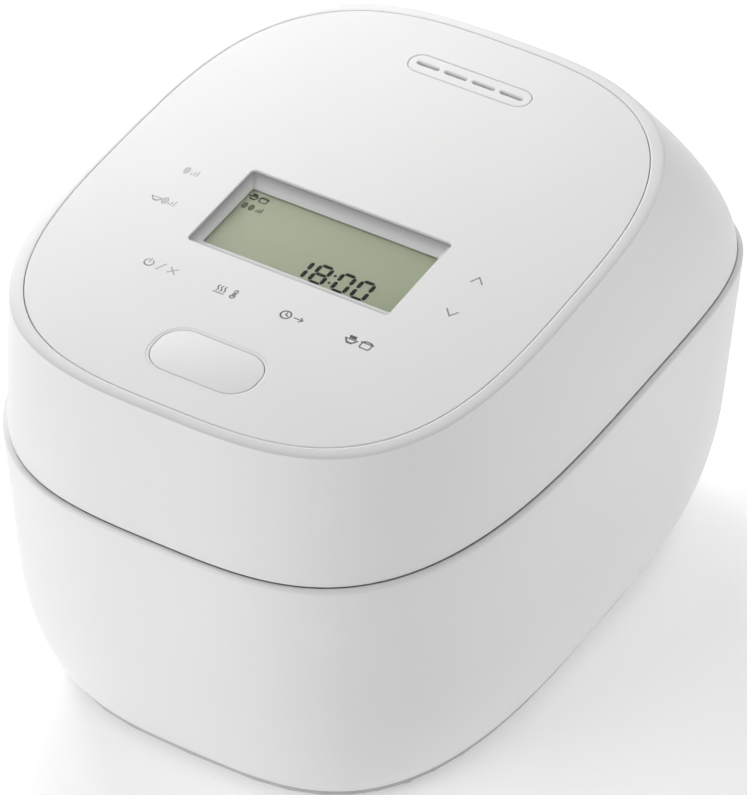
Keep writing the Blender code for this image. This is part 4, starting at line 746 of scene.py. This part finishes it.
# Painted shadow: the surround's colour is dark at its top edge under the pane and pales down the funnel towards
# the panel.
depth_attribute = surround_tree.nodes.new("ShaderNodeAttribute")
depth_attribute.attribute_name = "down"
painted_edge_shadow = surround_tree.nodes.new("ShaderNodeValToRGB")
painted_edge_shadow.color_ramp.elements[0].color = (0.42, 0.42, 0.43, 1.0)
painted_edge_shadow.color_ramp.elements[1].color = (0.77, 0.77, 0.77, 1.0)
painted_edge_shadow.color_ramp.elements[1].position = 0.70
surround_tree.links.new(depth_attribute.outputs["Fac"], painted_edge_shadow.inputs["Fac"])
surround_tree.links.new(painted_edge_shadow.outputs["Color"], surround_shader.inputs["Base Color"])
add_bump(surround_tree, surround_shader, add_noise(surround_tree, 1500.0), 0.00001)

lcd_grey, lcd_tree, lcd_shader = new_material("liquid_crystal", (0.31, 0.36, 0.22), 0.40)
lcd_cloud = spread(lcd_tree, add_noise(lcd_tree, 40.0), 0.0, 1.0)
lcd_tree.links.new(blend_colours(lcd_tree, lcd_cloud, (0.306, 0.356, 0.214), (0.318, 0.370, 0.224)),
                   lcd_shader.inputs["Base Color"])
add_bump(lcd_tree, lcd_shader, add_noise(lcd_tree, 2500.0), 0.000004)
segment_black = moulded("segment_black", (0.020, 0.024, 0.018), 0.8, 900.0, 0.000005)
segment_black.node_tree.nodes["Principled BSDF"].inputs["Specular IOR Level"].default_value = 0.1

clear_pane, pane_tree, pane_shader = new_material("clear_pane", (0.20, 0.21, 0.21), 0.04)
pane_shader.inputs["Alpha"].default_value = 0.015
pane_tree.links.new(spread(pane_tree, add_noise(pane_tree, 30.0), 0.03, 0.06),
                    pane_shader.inputs["Roughness"])

lcd_middle = (0.0, LCD_MIDDLE_Y)
window_middle = (0.0, WINDOW_Y)
funnel = [(0.0, grown(WINDOW, -0.0003), WINDOW_CORNER, PANE_THICKNESS + 0.0002, window_middle)]
for share in (0.12, 0.3, 0.6, 1.0):
    funnel.append((share, tuple(w + (v - w) * share for w, v in zip(grown(WINDOW, -0.0006), LCD_VIEW)),
                   WINDOW_CORNER * (1 - share) + 0.0008 * share,
                   PANE_THICKNESS + 0.0002 + (LCD_DEPTH - PANE_THICKNESS - 0.0002) * share,
                   (0.0, WINDOW_Y + (LCD_MIDDLE_Y - WINDOW_Y) * share)))
funnel.append((1.0, grown(LCD_VIEW, 0.0012), 0.0010, LCD_DEPTH + 0.0003, lcd_middle))
funnel.append((1.0, grown(WINDOW, -0.0003), WINDOW_CORNER, LCD_DEPTH + 0.0003, window_middle))
surround = skin("display_surround_funnel",
                [box_ring(size, corner, -depth, middle) for _, size, corner, depth, middle in funnel],
                surround_grey, closed=True, place=deck, crease=50.0)
# Each ring's share of the way down the funnel, which sets the painted shadow on the surround.
down = surround.data.attributes.new("down", "FLOAT", "POINT")
ring_length = len(box_ring(WINDOW, WINDOW_CORNER, 0.0))
for i, value in enumerate(down.data):
    value.value = funnel[i // ring_length][0]
stands_for(surround, "lid", "bezel", "display_bezel")

pane = sheet_cut("display_pane", [rounded_box(grown(WINDOW, -0.0003), WINDOW_CORNER, window_middle)],
                 PANE_THICKNESS, -PANE_THICKNESS - 0.00005, clear_pane, 0.0001, deck)
stands_for(pane, "lid", "window", "display_window")

panel_rings = [box_ring(PANEL, 0.001, -PANEL_BOTTOM, lcd_middle),
               box_ring(PANEL, 0.001, -PANEL_TOP - 0.0002, lcd_middle),
               box_ring(grown(PANEL, -0.0001), 0.001, -PANEL_TOP, lcd_middle)]
panel = skin("liquid_crystal_panel", panel_rings, lcd_grey, place=deck)
DIGIT_WIDTH, DIGIT_HEIGHT, SEGMENT_WIDTH = 8.2, 14.0, 1.95
SEGMENTS = {  # bar name: ends in shares of the digit's width and height
    "top": ((0, 1), (1, 1)), "upper_left": ((0, 0.5), (0, 1)), "upper_right": ((1, 0.5), (1, 1)),
    "middle": ((0, 0.5), (1, 0.5)), "lower_left": ((0, 0), (0, 0.5)), "lower_right": ((1, 0), (1, 0.5)),
    "bottom": ((0, 0), (1, 0))}
RIGHT_BARS = ("upper_right", "lower_right")
ZERO_BARS = tuple(bar for bar in SEGMENTS if bar != "middle")
CLOCK_DIGITS = ((RIGHT_BARS, -5.2), (tuple(SEGMENTS), 5.0), (ZERO_BARS, 16.9), (ZERO_BARS, 27.0))
CLOCK_Y = -57.0
clock = bmesh.new()


def bar(bm, start, end, width):
    """One liquid crystal bar with pointed ends, sizes in millimetres."""
    a, b = Vector((*start, 0.0)), Vector((*end, 0.0))
    along = (b - a).normalized()
    side = Vector((-along.y, along.x, 0.0)) * width / 2
    tip = along * width / 2
    inner = along * width * 0.12
    shape = [a + inner, a + inner + tip + side, b - inner - tip + side, b - inner, b - inner - tip - side,
             a + inner + tip - side]
    low = [bm.verts.new(0.001 * p + Vector((0.0, 0.0, BARS_LOW))) for p in shape]
    high = [bm.verts.new(v.co + Vector((0.0, 0.0, BAR_HEIGHT))) for v in low]
    bm.faces.new(high)
    bm.faces.new(low[::-1])
    for i in range(6):
        bm.faces.new((low[i - 1], low[i], high[i], high[i - 1]))


for bars, left in CLOCK_DIGITS:
    for name in bars:
        (ax, ay), (bx, by) = SEGMENTS[name]
        inset = SEGMENT_WIDTH / 2
        ends = [(left + inset + share_x * (DIGIT_WIDTH - SEGMENT_WIDTH),
                 CLOCK_Y + inset + share_y * (DIGIT_HEIGHT - SEGMENT_WIDTH))
                for share_x, share_y in ((ax, ay), (bx, by))]
        bar(clock, *ends, SEGMENT_WIDTH)
for dot_y in (0.3, 0.68):
    centre_y = CLOCK_Y + DIGIT_HEIGHT * dot_y
    bar(clock, (14.0, centre_y), (16.2, centre_y), 1.9)
for sign, sign_x, sign_y in ((BOWL + STEAM, -0.0461, -0.0188), (POT, -0.0408, -0.0188),
                             (GRAIN, -0.0468, -0.0258), (GRAIN, -0.0432, -0.0258), (BARS, -0.0388, -0.0258)):
    draw(clock, sign, (sign_x, sign_y), ICON_STROKE, BAR_HEIGHT, BARS_LOW)
bmesh.ops.transform(clock, matrix=deck, verts=clock.verts)
join(panel, to_object(clock, "clock_bars", segment_black))
stands_for(panel, "lid", "lcd", "lcd_panel")


# ---- Open button ------------------------------------------------------------------------
# A flush white key with a softly broken edge, moulded with the round stem that works the
# latch. It sits in a shallow well in the top plate.
KEY, KEY_CORNER, KEY_THICKNESS, KEY_EDGE = (0.0531, 0.0280), 0.0123, 0.0050, 0.0005
STEM_RADIUS, STEM_BREAK, STEM_FRONT = 0.0035, 0.0005, 0.0024
STEM_SHIFT = 0.0007                      # the leaning stem's middle, behind its top
key_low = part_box("open_button")[0]
key_rings = [box_ring(grown(KEY, -0.0012), KEY_CORNER - 0.0012, -KEY_THICKNESS, well, 16),
             box_ring(KEY, KEY_CORNER, -KEY_THICKNESS + 0.0010, well, 16)]
key_rings += [box_ring(grown(KEY, across - KEY_EDGE), KEY_CORNER + across - KEY_EDGE,
                       -0.00005 - KEY_EDGE + along, well, 16)
              for across, along in quarter(KEY_EDGE, 5, 0, 90)]
open_key = skin("open_key", key_rings, white_plate, place=deck)
stem_centre = deck @ Vector((0.0, BUTTON_Y - STEM_FRONT, 0.0))
stem_top = stem_centre.z - 0.0045
stem_section = [(0.0, key_low.z), (STEM_RADIUS - STEM_BREAK, key_low.z),
                (STEM_RADIUS, key_low.z + STEM_BREAK), (STEM_RADIUS, stem_top), (0.0, stem_top)]
join(open_key, lathe("open_key_stem", stem_section,
                     Vector((stem_centre.x, stem_centre.y + STEM_SHIFT, 0.0)), white_plate, 32))
smooth(open_key, outwards=False)
stands_for(open_key, "open_button", "top_white", "open_button")


# ---- Steam cap --------------------------------------------------------------------------
# A lift-out white cap with four narrow slots for the steam, its edge well rounded.
STEAM_SLOT, STEAM_SLOT_PITCH, STEAM_SLOTS = (0.0115, 0.0015), 0.0150, 4
CAP_THICKNESS, CAP_EDGE = 0.0030, 0.0006
cap_line = rounded_box(STEAM_CAP, STEAM_CAP[1] / 2, (0.0, STEAM_CAP_Y), 16)
slots = [rounded_box(grown(STEAM_SLOT, CAP_EDGE / 2), STEAM_SLOT[1] / 2 + CAP_EDGE / 4,
                     (STEAM_SLOT_PITCH * (i - (STEAM_SLOTS - 1) / 2), STEAM_CAP_Y), 5)
         for i in range(STEAM_SLOTS)]
steam_cap = sheet_cut("steam_cap_panel", [cap_line] + slots, CAP_THICKNESS, -CAP_THICKNESS, white_plate,
                      CAP_EDGE, deck)
stands_for(steam_cap, "steam_cap", "top_white", "steam_cap")


# ---- Feet, base plate and screws ----------------------------------------------------------
# A flat moulded plate with air slots closes the underside. It is held by four cross-head
# screws and stands on four turned rubber feet that push into it.
FOOT_NODES = ("foot_front_left", "foot_front_right", "foot_rear_left", "foot_rear_right")
SCREW_NODES = ("base_screw_front_left", "base_screw_front_right", "base_screw_rear_left",
               "base_screw_rear_right")
grey_base = moulded("grey_base_plastic", (0.47, 0.48, 0.49), 0.52, 1100.0, 0.00003)
foot_rubber = moulded("foot_rubber", (0.045, 0.045, 0.047), 0.82, 700.0, 0.00004, 0.9)
nodes["base_plate"].data.materials.clear()
nodes["base_plate"].data.materials.append(grey_base)


def metal(name, colour, roughness, stretch=(1.0, 1.0, 1.0), scale=300.0):
    """Bare metal with the fine lines of its rolling or turning."""
    shade, depth = 0.93, 0.000006
    made, tree, shader = new_material(name, colour, roughness, 1.0)
    lines = add_noise(tree, scale, 3.0, stretch)
    share = spread(tree, lines, 0.0, 1.0)
    tree.links.new(blend_colours(tree, share, tuple(shade * c for c in colour), colour),
                   shader.inputs["Base Color"])
    tree.links.new(spread(tree, add_noise(tree, 30.0), 0.88 * roughness, 1.12 * roughness),
                   shader.inputs["Roughness"])
    add_bump(tree, shader, lines, depth)
    return made


bright_steel = metal("bright_steel", (0.60, 0.60, 0.61), 0.28, (1.0, 1.0, 9.0))


def make_repeat_tree():
    """Sets a copy of one master piece on every point."""
    tree, given, out = tree_with("repeat", [("Master", "Object"), ("Material", "Material")])
    master = tree.nodes.new("GeometryNodeObjectInfo")
    tree.links.new(given["Master"], master.inputs["Object"])
    place = tree.nodes.new("GeometryNodeInstanceOnPoints")
    tree.links.new(given["Geometry"], place.inputs["Points"])
    tree.links.new(master.outputs["Geometry"], place.inputs["Instance"])
    end_tree(tree, place.outputs["Instances"], given["Material"], out)
    return tree


repeat = make_repeat_tree()


def repeated(name, master, places, material):
    """One piece that holds a copy of the master at every place."""
    made = run_nodes(name, points_mesh(name + "_places", places), repeat,
                     {"Master": master, "Material": material})
    bpy.data.objects.remove(master)
    return smooth(made)


def low_middle(node):
    """The middle of the underside of a node's box."""
    low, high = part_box(node)
    return Vector(((low.x + high.x) / 2, (low.y + high.y) / 2, low.z))


foot_low, foot_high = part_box(FOOT_NODES[0])
foot_radius, foot_height = (foot_high.x - foot_low.x) / 2, foot_high.z - foot_low.z
FOOT_FLANGE, FOOT_STEM = 0.0042, 0.0030
foot_section = [(0.0, 0.0005), (0.0050, 0.0005), (0.0056, 0.0), (foot_radius - 0.0010, 0.0),
                (foot_radius - 0.0003, 0.0003), (foot_radius, 0.0010), (foot_radius, FOOT_FLANGE - 0.0006),
                (foot_radius - 0.0005, FOOT_FLANGE), (FOOT_STEM, FOOT_FLANGE), (FOOT_STEM, foot_height),
                (0.0, foot_height)]
one_foot = lathe("one_foot", foot_section, Vector(), foot_rubber, 40)
feet = repeated("rubber_feet", one_foot, [low_middle(node) for node in FOOT_NODES], foot_rubber)
stands_for(feet, "base", "rubber", *FOOT_NODES)

screw_low, screw_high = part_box(SCREW_NODES[0])
head_radius, screw_length = (screw_high.x - screw_low.x) / 2, screw_high.z - screw_low.z
SCREW_HEAD, SCREW_CORE, SCREW_CREST = 0.0020, 0.0012, 0.0015
THREAD_PITCH, THREAD_TURNS, CROSS_SIZE, CROSS_DEPTH = 0.0010, 11, (0.0034, 0.0008), 0.0011
screw_section = [(0.0, 0.0), (head_radius * 0.75, 0.0001), (head_radius, 0.0008), (head_radius, SCREW_HEAD)]
for turn in range(THREAD_TURNS):
    z = SCREW_HEAD + THREAD_PITCH * (turn + 1)
    screw_section += [(SCREW_CORE, z), (SCREW_CREST, z + THREAD_PITCH / 2)]
screw_section += [(0.0, screw_length)]
one_screw = lathe("one_screw", screw_section, Vector(), bright_steel, 24)
for across, along in (CROSS_SIZE, CROSS_SIZE[::-1]):
    slot_bm = bmesh.new()
    bmesh.ops.create_cube(slot_bm, size=1.0)
    bmesh.ops.scale(slot_bm, vec=(across, along, 2 * CROSS_DEPTH), verts=slot_bm.verts)
    apply_cut(one_screw, to_object(slot_bm, "cross_slot"))
screws = repeated("base_screws", one_screw, [low_middle(node) for node in SCREW_NODES], bright_steel)
stands_for(screws, "base", "steel", *SCREW_NODES)


# ---- Cord outlet ------------------------------------------------------------------------
# A ribbed grommet pressed into the back wall, where the reeled mains cord comes out.
CORD_BORE = 0.0080
RIB_GROOVES, FIRST_GROOVE, GROOVE_PITCH = 3, 0.0050, 0.0040
dark_plastic = moulded("dark_plastic", (0.045, 0.045, 0.05), 0.5, 1000.0, 0.00003, 0.92)
half_length = grommet_length / 2
grommet_section = [(CORD_BORE, -half_length), (CORD_BORE, half_length - 0.0012),
                   (CORD_BORE + 0.0006, half_length - 0.0003), (CORD_BORE + 0.0014, half_length),
                   (grommet_radius - 0.0008, half_length), (grommet_radius - 0.0002, half_length - 0.0004),
                   (grommet_radius, half_length - 0.0010)]
for groove in range(RIB_GROOVES):
    y = half_length - FIRST_GROOVE - groove * GROOVE_PITCH
    grommet_section += [(grommet_radius, y + 0.0014), (grommet_radius - 0.0006, y + 0.0008),
                        (grommet_radius - 0.0006, y - 0.0008), (grommet_radius, y - 0.0014)]
grommet_section.append((grommet_radius, -half_length))
grommet = lathe("cord_grommet", grommet_section, Vector(), grey_base, 48)
grommet.data.transform(Matrix.Translation(cord_centre) @ Matrix.Rotation(-math.pi / 2, 4, "X"))
stands_for(grommet, "base", "grey_plastic", "cord_outlet")


# ---- Top frame --------------------------------------------------------------------------
# The white ring that closes the body under the lid. The pot hangs by its flange on the edge
# of the round opening, and the latch hook drops through the small window at the front.
frame_low, frame_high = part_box("top_frame")
pot_low, pot_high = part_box("inner_pot")
pot_centre = Vector(((pot_low.x + pot_high.x) / 2, (pot_low.y + pot_high.y) / 2, 0.0))
catch_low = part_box("latch_catch")[0]
SEAT_RADIUS = 0.1000
HOOK_WINDOW, HOOK_WINDOW_FRONT = (0.0200, 0.0250), 0.0136
frame_line = outline_points(frame_high.x, WIDEST_Y - frame_low.y, frame_high.y - WIDEST_Y,
                            SQUARENESS_FRONT, SQUARENESS_REAR, WIDEST_Y)
hook_window = rounded_box(HOOK_WINDOW, 0.0020, (0.0, catch_low.y - HOOK_WINDOW_FRONT), 5)
top_frame = sheet_cut("top_frame_ring", [frame_line, ring_points(SEAT_RADIUS, pot_centre, 128), hook_window],
                      frame_high.z - frame_low.z, frame_low.z, white_satin, 0.0007)
stands_for(top_frame, "base", "white_shell", "top_frame")


# ---- Inner pot --------------------------------------------------------------------------
# A deep pressed pot of clad aluminium with a rolled flange. Inside it has a dark speckled
# non-stick coat with printed water levels, outside a hard satin coat.
POT_RADIUS, POT_WALL, POT_CORNER, FLANGE = 0.0955, 0.0030, 0.0260, 0.0020
LIP_RADIUS = 0.0022
pot_coat, coat_tree, coat_shader = new_material("pot_non_stick", (0.055, 0.055, 0.058), 0.34)
fleck = coat_tree.nodes.new("ShaderNodeTexVoronoi")
fleck.inputs["Scale"].default_value = 620.0
fleck_place = coat_tree.nodes.new("ShaderNodeTexCoord")
coat_tree.links.new(fleck_place.outputs["Object"], fleck.inputs["Vector"])
fleck_share = coat_tree.nodes.new("ShaderNodeMapRange")
for label, value in (("From Min", 0.10), ("From Max", 0.28), ("To Min", 1.0), ("To Max", 0.0)):
    fleck_share.inputs[label].default_value = value
coat_tree.links.new(fleck.outputs["Distance"], fleck_share.inputs["Value"])
coat_tree.links.new(blend_colours(coat_tree, fleck_share.outputs["Result"],
                                  (0.050, 0.050, 0.053), (0.115, 0.115, 0.12)),
                    coat_shader.inputs["Base Color"])
coat_tree.links.new(spread(coat_tree, add_noise(coat_tree, 25.0), 0.30, 0.40),
                    coat_shader.inputs["Roughness"])
add_bump(coat_tree, coat_shader, add_noise(coat_tree, 900.0), 0.00002)
pot_outside = metal("pot_outside", (0.26, 0.25, 0.25), 0.42, (1.0, 1.0, 6.0), 220.0)


def corner(radius, centre_r, centre_z, start, end, steps=10):
    """Section points round a corner with its middle at (radius, height)."""
    return [(centre_r + a, centre_z + b) for a, b in quarter(radius, steps, start, end)]


inner_radius, inner_floor = POT_RADIUS - POT_WALL, pot_low.z + POT_WALL
flange_low = pot_high.z - FLANGE
outer_wall = [(0.0, pot_low.z)]
outer_wall += corner(POT_CORNER, POT_RADIUS - POT_CORNER, pot_low.z + POT_CORNER, -90, 0)
outer_wall += [(POT_RADIUS, flange_low - 0.0015), (POT_RADIUS + 0.0010, flange_low)]
outer_wall += corner(FLANGE / 2, pot_high.x - FLANGE / 2, pot_high.z - FLANGE / 2, -90, 90, 6)
inner_corner = POT_CORNER - POT_WALL
inner_wall = corner(LIP_RADIUS, inner_radius + LIP_RADIUS, pot_high.z - LIP_RADIUS, 90, 180, 5)
inner_wall += corner(inner_corner, inner_radius - inner_corner, inner_floor + inner_corner, 0, -90)
inner_wall += [(0.060, inner_floor), (0.0592, inner_floor + 0.0004), (0.0584, inner_floor),
               (0.0, inner_floor)]
pot = lathe("inner_pot_pressing", outer_wall + inner_wall, pot_centre, pot_coat, 128)
pot.data.materials.append(pot_outside)
for face in pot.data.polygons:
    steep = abs(face.normal.z) < 0.999 or face.normal.z > 0
    looks_in = face.normal.xy.dot((face.center - pot_centre).xy) < 0 or face.normal.z > 0.9
    face.material_index = 0 if (looks_in and steep) else 1
LEVELS, LEVEL_LOW, LEVEL_STEP, LEVEL_HEIGHT = 5, 0.0720, 0.0130, 0.0006
level_radius = inner_radius - 0.0001
level_mesh = bmesh.new()
for number in range(LEVELS):
    z = LEVEL_LOW + LEVEL_STEP * number
    for start, end in ((172.0, 178.0), (182.0, 188.0)):
        ring = []
        for i in range(7):
            a = math.radians(start + (end - start) * i / 6)
            for level in (z, z + LEVEL_HEIGHT):
                ring.append(level_mesh.verts.new(
                    pot_centre + Vector((level_radius * math.cos(a), level_radius * math.sin(a), level))))
        for i in range(0, 12, 2):
            level_mesh.faces.new((ring[i], ring[i + 1], ring[i + 3], ring[i + 2]))
level_print = moulded("level_print", (0.62, 0.62, 0.60), 0.5, 900.0, 0.00001)
join(pot, to_object(level_mesh, "water_levels", level_print))
stands_for(pot, "base", "pot_coating", "inner_pot")


# ---- Heating coils ----------------------------------------------------------------------
# Varnished copper wire is wound flat under the pot and round its lower wall. Both coils lie
# on a dark heat-proof holder with four ferrite bars below.
FLAT_TURNS, FLAT_INNER, SIDE_TURNS, SIDE_WIRE = 11, 0.0300, 5, 0.0024
copper_wire = metal("varnished_copper", (0.66, 0.30, 0.14), 0.33, scale=400.0)


def make_wound_tree():
    """Winds a round wire as a spiral or a helix."""
    inputs = [("Steps", "Int"), ("Material", "Material")]
    inputs += [(label, "Float") for label in ("Turns", "Start Radius", "End Radius", "Rise", "Wire Radius")]
    tree, given, out = tree_with("wound_wire", inputs)
    spiral = tree.nodes.new("GeometryNodeCurveSpiral")
    for socket, label in (("Resolution", "Steps"), ("Rotations", "Turns"), ("Start Radius", "Start Radius"),
                          ("End Radius", "End Radius"), ("Height", "Rise")):
        tree.links.new(given[label], spiral.inputs[socket])
    wire = tree.nodes.new("GeometryNodeCurvePrimitiveCircle")
    wire.inputs["Resolution"].default_value = 8
    tree.links.new(given["Wire Radius"], wire.inputs["Radius"])
    solid = tree.nodes.new("GeometryNodeCurveToMesh")
    solid.inputs["Fill Caps"].default_value = True
    tree.links.new(spiral.outputs["Curve"], solid.inputs["Curve"])
    tree.links.new(wire.outputs["Curve"], solid.inputs["Profile Curve"])
    end_tree(tree, solid.outputs["Mesh"], given["Material"], out)
    return tree


wound_wire = make_wound_tree()


def wind(name, turns, start_radius, end_radius, rise, wire_radius, material, centre, steps=64):
    made = run_nodes(name, points_mesh(name + "_seed", [(0, 0, 0)]), wound_wire, {
        "Turns": float(turns), "Steps": steps, "Start Radius": start_radius, "End Radius": end_radius,
        "Rise": rise, "Wire Radius": wire_radius, "Material": material})
    made.data.transform(Matrix.Translation(centre))
    return smooth(made, 60.0)


flat_low, flat_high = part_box("bottom_coil")
wire_radius = (flat_high.z - flat_low.z) / 2
flat_coil = wind("bottom_winding", FLAT_TURNS, FLAT_INNER + wire_radius, flat_high.x - wire_radius, 0.0,
                 wire_radius * 0.96, copper_wire,
                 pot_centre + Vector((0.0, 0.0, flat_low.z + wire_radius)))
stands_for(flat_coil, "base", "copper", "bottom_coil")
side_low, side_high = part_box("side_coil")
side_coil = wind("side_winding", SIDE_TURNS, side_high.x - SIDE_WIRE, side_high.x - SIDE_WIRE,
                 side_high.z - side_low.z - 2 * SIDE_WIRE, SIDE_WIRE, copper_wire,
                 pot_centre + Vector((0.0, 0.0, side_low.z + SIDE_WIRE)), 96)
stands_for(side_coil, "base", "copper", "side_coil")


# ---- Lid lower cover --------------------------------------------------------------------
# The white panel that closes the lid from below, with two ears that carry the latch pin.
cover_low, cover_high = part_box("lid_lower_cover")
COVER_THICKNESS, COVER_EDGE = 0.0025, 0.0006
STEAM_TUBE, HOOK_SLOT = 0.0105, (0.0180, 0.0140)
EAR_THICKNESS, EAR_PLACE, EAR_RADIUS = 0.0030, 0.0110, 0.0050
HOOK_SLOT_FRONT, COVER_SIDE_GAP = 0.0022, 0.0038
pin_low, pin_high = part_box("latch_pin")
tube_low, tube_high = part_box("steam_packing")
tube_centre = Vector(((tube_low.x + tube_high.x) / 2, (tube_low.y + tube_high.y) / 2, 0.0))
latch_y, latch_z = (pin_low.y + pin_high.y) / 2, (pin_low.z + pin_high.z) / 2
cover_line = [(x, min(y, cover_high.y)) for x, y in
              outline_points(cover_high.x, WIDEST_Y - cover_low.y, lid_high.y - WIDEST_Y - COVER_SIDE_GAP,
                             SQUARENESS_FRONT, SQUARENESS_REAR, WIDEST_Y, 192)]
cover_line = [p for i, p in enumerate(cover_line)
              if p[1] < cover_high.y - 1e-6 or cover_line[i - 1][1] < cover_high.y - 1e-6
              or cover_line[(i + 1) % len(cover_line)][1] < cover_high.y - 1e-6]
cover = sheet_cut("lid_cover_panel", [cover_line, ring_points(STEAM_TUBE + FIT, tube_centre, 48),
                                      rounded_box(HOOK_SLOT, 0.0020, (0.0, latch_y - HOOK_SLOT_FRONT), 5)],
                  COVER_THICKNESS, cover_low.z, white_satin, COVER_EDGE)
ear_foot = cover_low.z + COVER_THICKNESS / 2
ear_shape = [(-EAR_RADIUS, ear_foot), (EAR_RADIUS, ear_foot), (EAR_RADIUS, latch_z)]
ear_shape += [(EAR_RADIUS * math.cos(a), latch_z + EAR_RADIUS * math.sin(a))
              for a in (math.pi * i / 10 for i in range(1, 10))] + [(-EAR_RADIUS, latch_z)]
for side in (-1, 1):
    ear_rings = [[(side * EAR_PLACE + half * EAR_THICKNESS, latch_y + y, z) for y, z in ear_shape]
                 for half in (-0.5, 0.5)]
    join(cover, skin(f"ear_{side}", ear_rings, white_satin))
smooth(cover, outwards=False)
stands_for(cover, "lid", "white_shell", "lid_lower_cover")


# ---- Inner lid and gasket ---------------------------------------------------------------
# A pressed aluminium disc with raised rings, held in a soft pale gasket whose lip seals on
# the pot's flange. Steam leaves through the hole towards the back.
disc_low, disc_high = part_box("inner_lid")
disc_radius, disc_thickness = disc_high.x, 0.0010
satin_aluminium = metal("satin_aluminium", (0.80, 0.81, 0.82), 0.34, scale=500.0)
disc_face = [(0.0, 0.0010), (0.0110, 0.0010), (0.0125, 0.0002), (0.0160, 0.0002), (0.0175, 0.0010),
             (0.0520, 0.0010), (0.0532, 0.0003), (0.0560, 0.0003), (0.0572, 0.0010),
             (0.0850, 0.0010), (0.0865, 0.0002), (0.0925, 0.0002), (0.0940, 0.0010), (disc_radius, 0.0010)]
disc_section = [(r, disc_low.z + z) for r, z in disc_face] + [(r, disc_low.z + z + disc_thickness)
                                                              for r, z in reversed(disc_face)]
disc = lathe("inner_lid_pressing", disc_section, pot_centre, satin_aluminium, 128)
bore(disc, "steam_hole", STEAM_TUBE + FIT, 0.02, tube_centre + Vector((0.0, 0.0, disc_low.z)), "Z")
smooth(disc, outwards=False)
stands_for(disc, "lid", "aluminium", "inner_lid")

seal_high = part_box("lid_gasket")[1]
pale_silicone = moulded("pale_silicone", (0.70, 0.71, 0.72), 0.58, 600.0, 0.00002, 0.95)
seal_section = [(-0.0042, -0.0001), (-0.0004, -0.0001), (0.0, -0.0005), (0.0, -0.0034),
                (-0.0016, -0.0052), (-0.0040, -0.0064), (-0.0068, -0.0070), (-0.0074, -0.0064),
                (-0.0056, -0.0050), (-0.0043, -0.0036)]
seal = lathe("lid_seal", [(seal_high.x + r, seal_high.z + z) for r, z in seal_section], pot_centre,
             pale_silicone, 128)
stands_for(seal, "lid", "silicone", "lid_gasket")


# ---- Works inside -----------------------------------------------------------------------
# Pieces that keep their plain shapes: circuit boards, heat sink, coil holder, fan, springs,
# hinge and latch parts. Each has the finish of its own material.
board_green, board_tree, board_shader = new_material("circuit_board", (0.05, 0.22, 0.10), 0.4)
tracks = board_tree.nodes.new("ShaderNodeTexBrick")
tracks.inputs["Scale"].default_value = 60.0
tracks.inputs["Mortar Size"].default_value = 0.03
tracks.inputs["Color1"].default_value = (0.035, 0.17, 0.075, 1.0)
tracks.inputs["Color2"].default_value = (0.045, 0.21, 0.09, 1.0)
tracks.inputs["Mortar"].default_value = (0.10, 0.34, 0.15, 1.0)
track_place = board_tree.nodes.new("ShaderNodeTexCoord")
board_tree.links.new(track_place.outputs["Object"], tracks.inputs["Vector"])
board_tree.links.new(tracks.outputs["Color"], board_shader.inputs["Base Color"])
add_bump(board_tree, board_shader, tracks.outputs["Fac"], 0.00003)
FINISHES = {
    "white_shell": white_satin, "top_white": white_plate, "bezel": surround_grey, "lcd": lcd_grey,
    "grey_plastic": grey_base, "dark_plastic": dark_plastic, "rubber": foot_rubber,
    "silicone": pale_silicone, "steel": bright_steel, "aluminium": satin_aluminium,
    "pot_coating": pot_coat, "copper": copper_wire, "board": board_green, "window": clear_pane,
    "ferrite": moulded("sintered_ferrite", (0.06, 0.06, 0.068), 0.7, 500.0, 0.00004, 0.85),
}
slot_of = {part["node"]: part["material_slot"] for part in frame["record"]["subparts"]}
for name, obj in nodes.items():
    if not obj.hide_render and obj is not nodes["base_plate"]:
        obj.data.materials.clear()
        obj.data.materials.append(FINISHES[slot_of[name]])
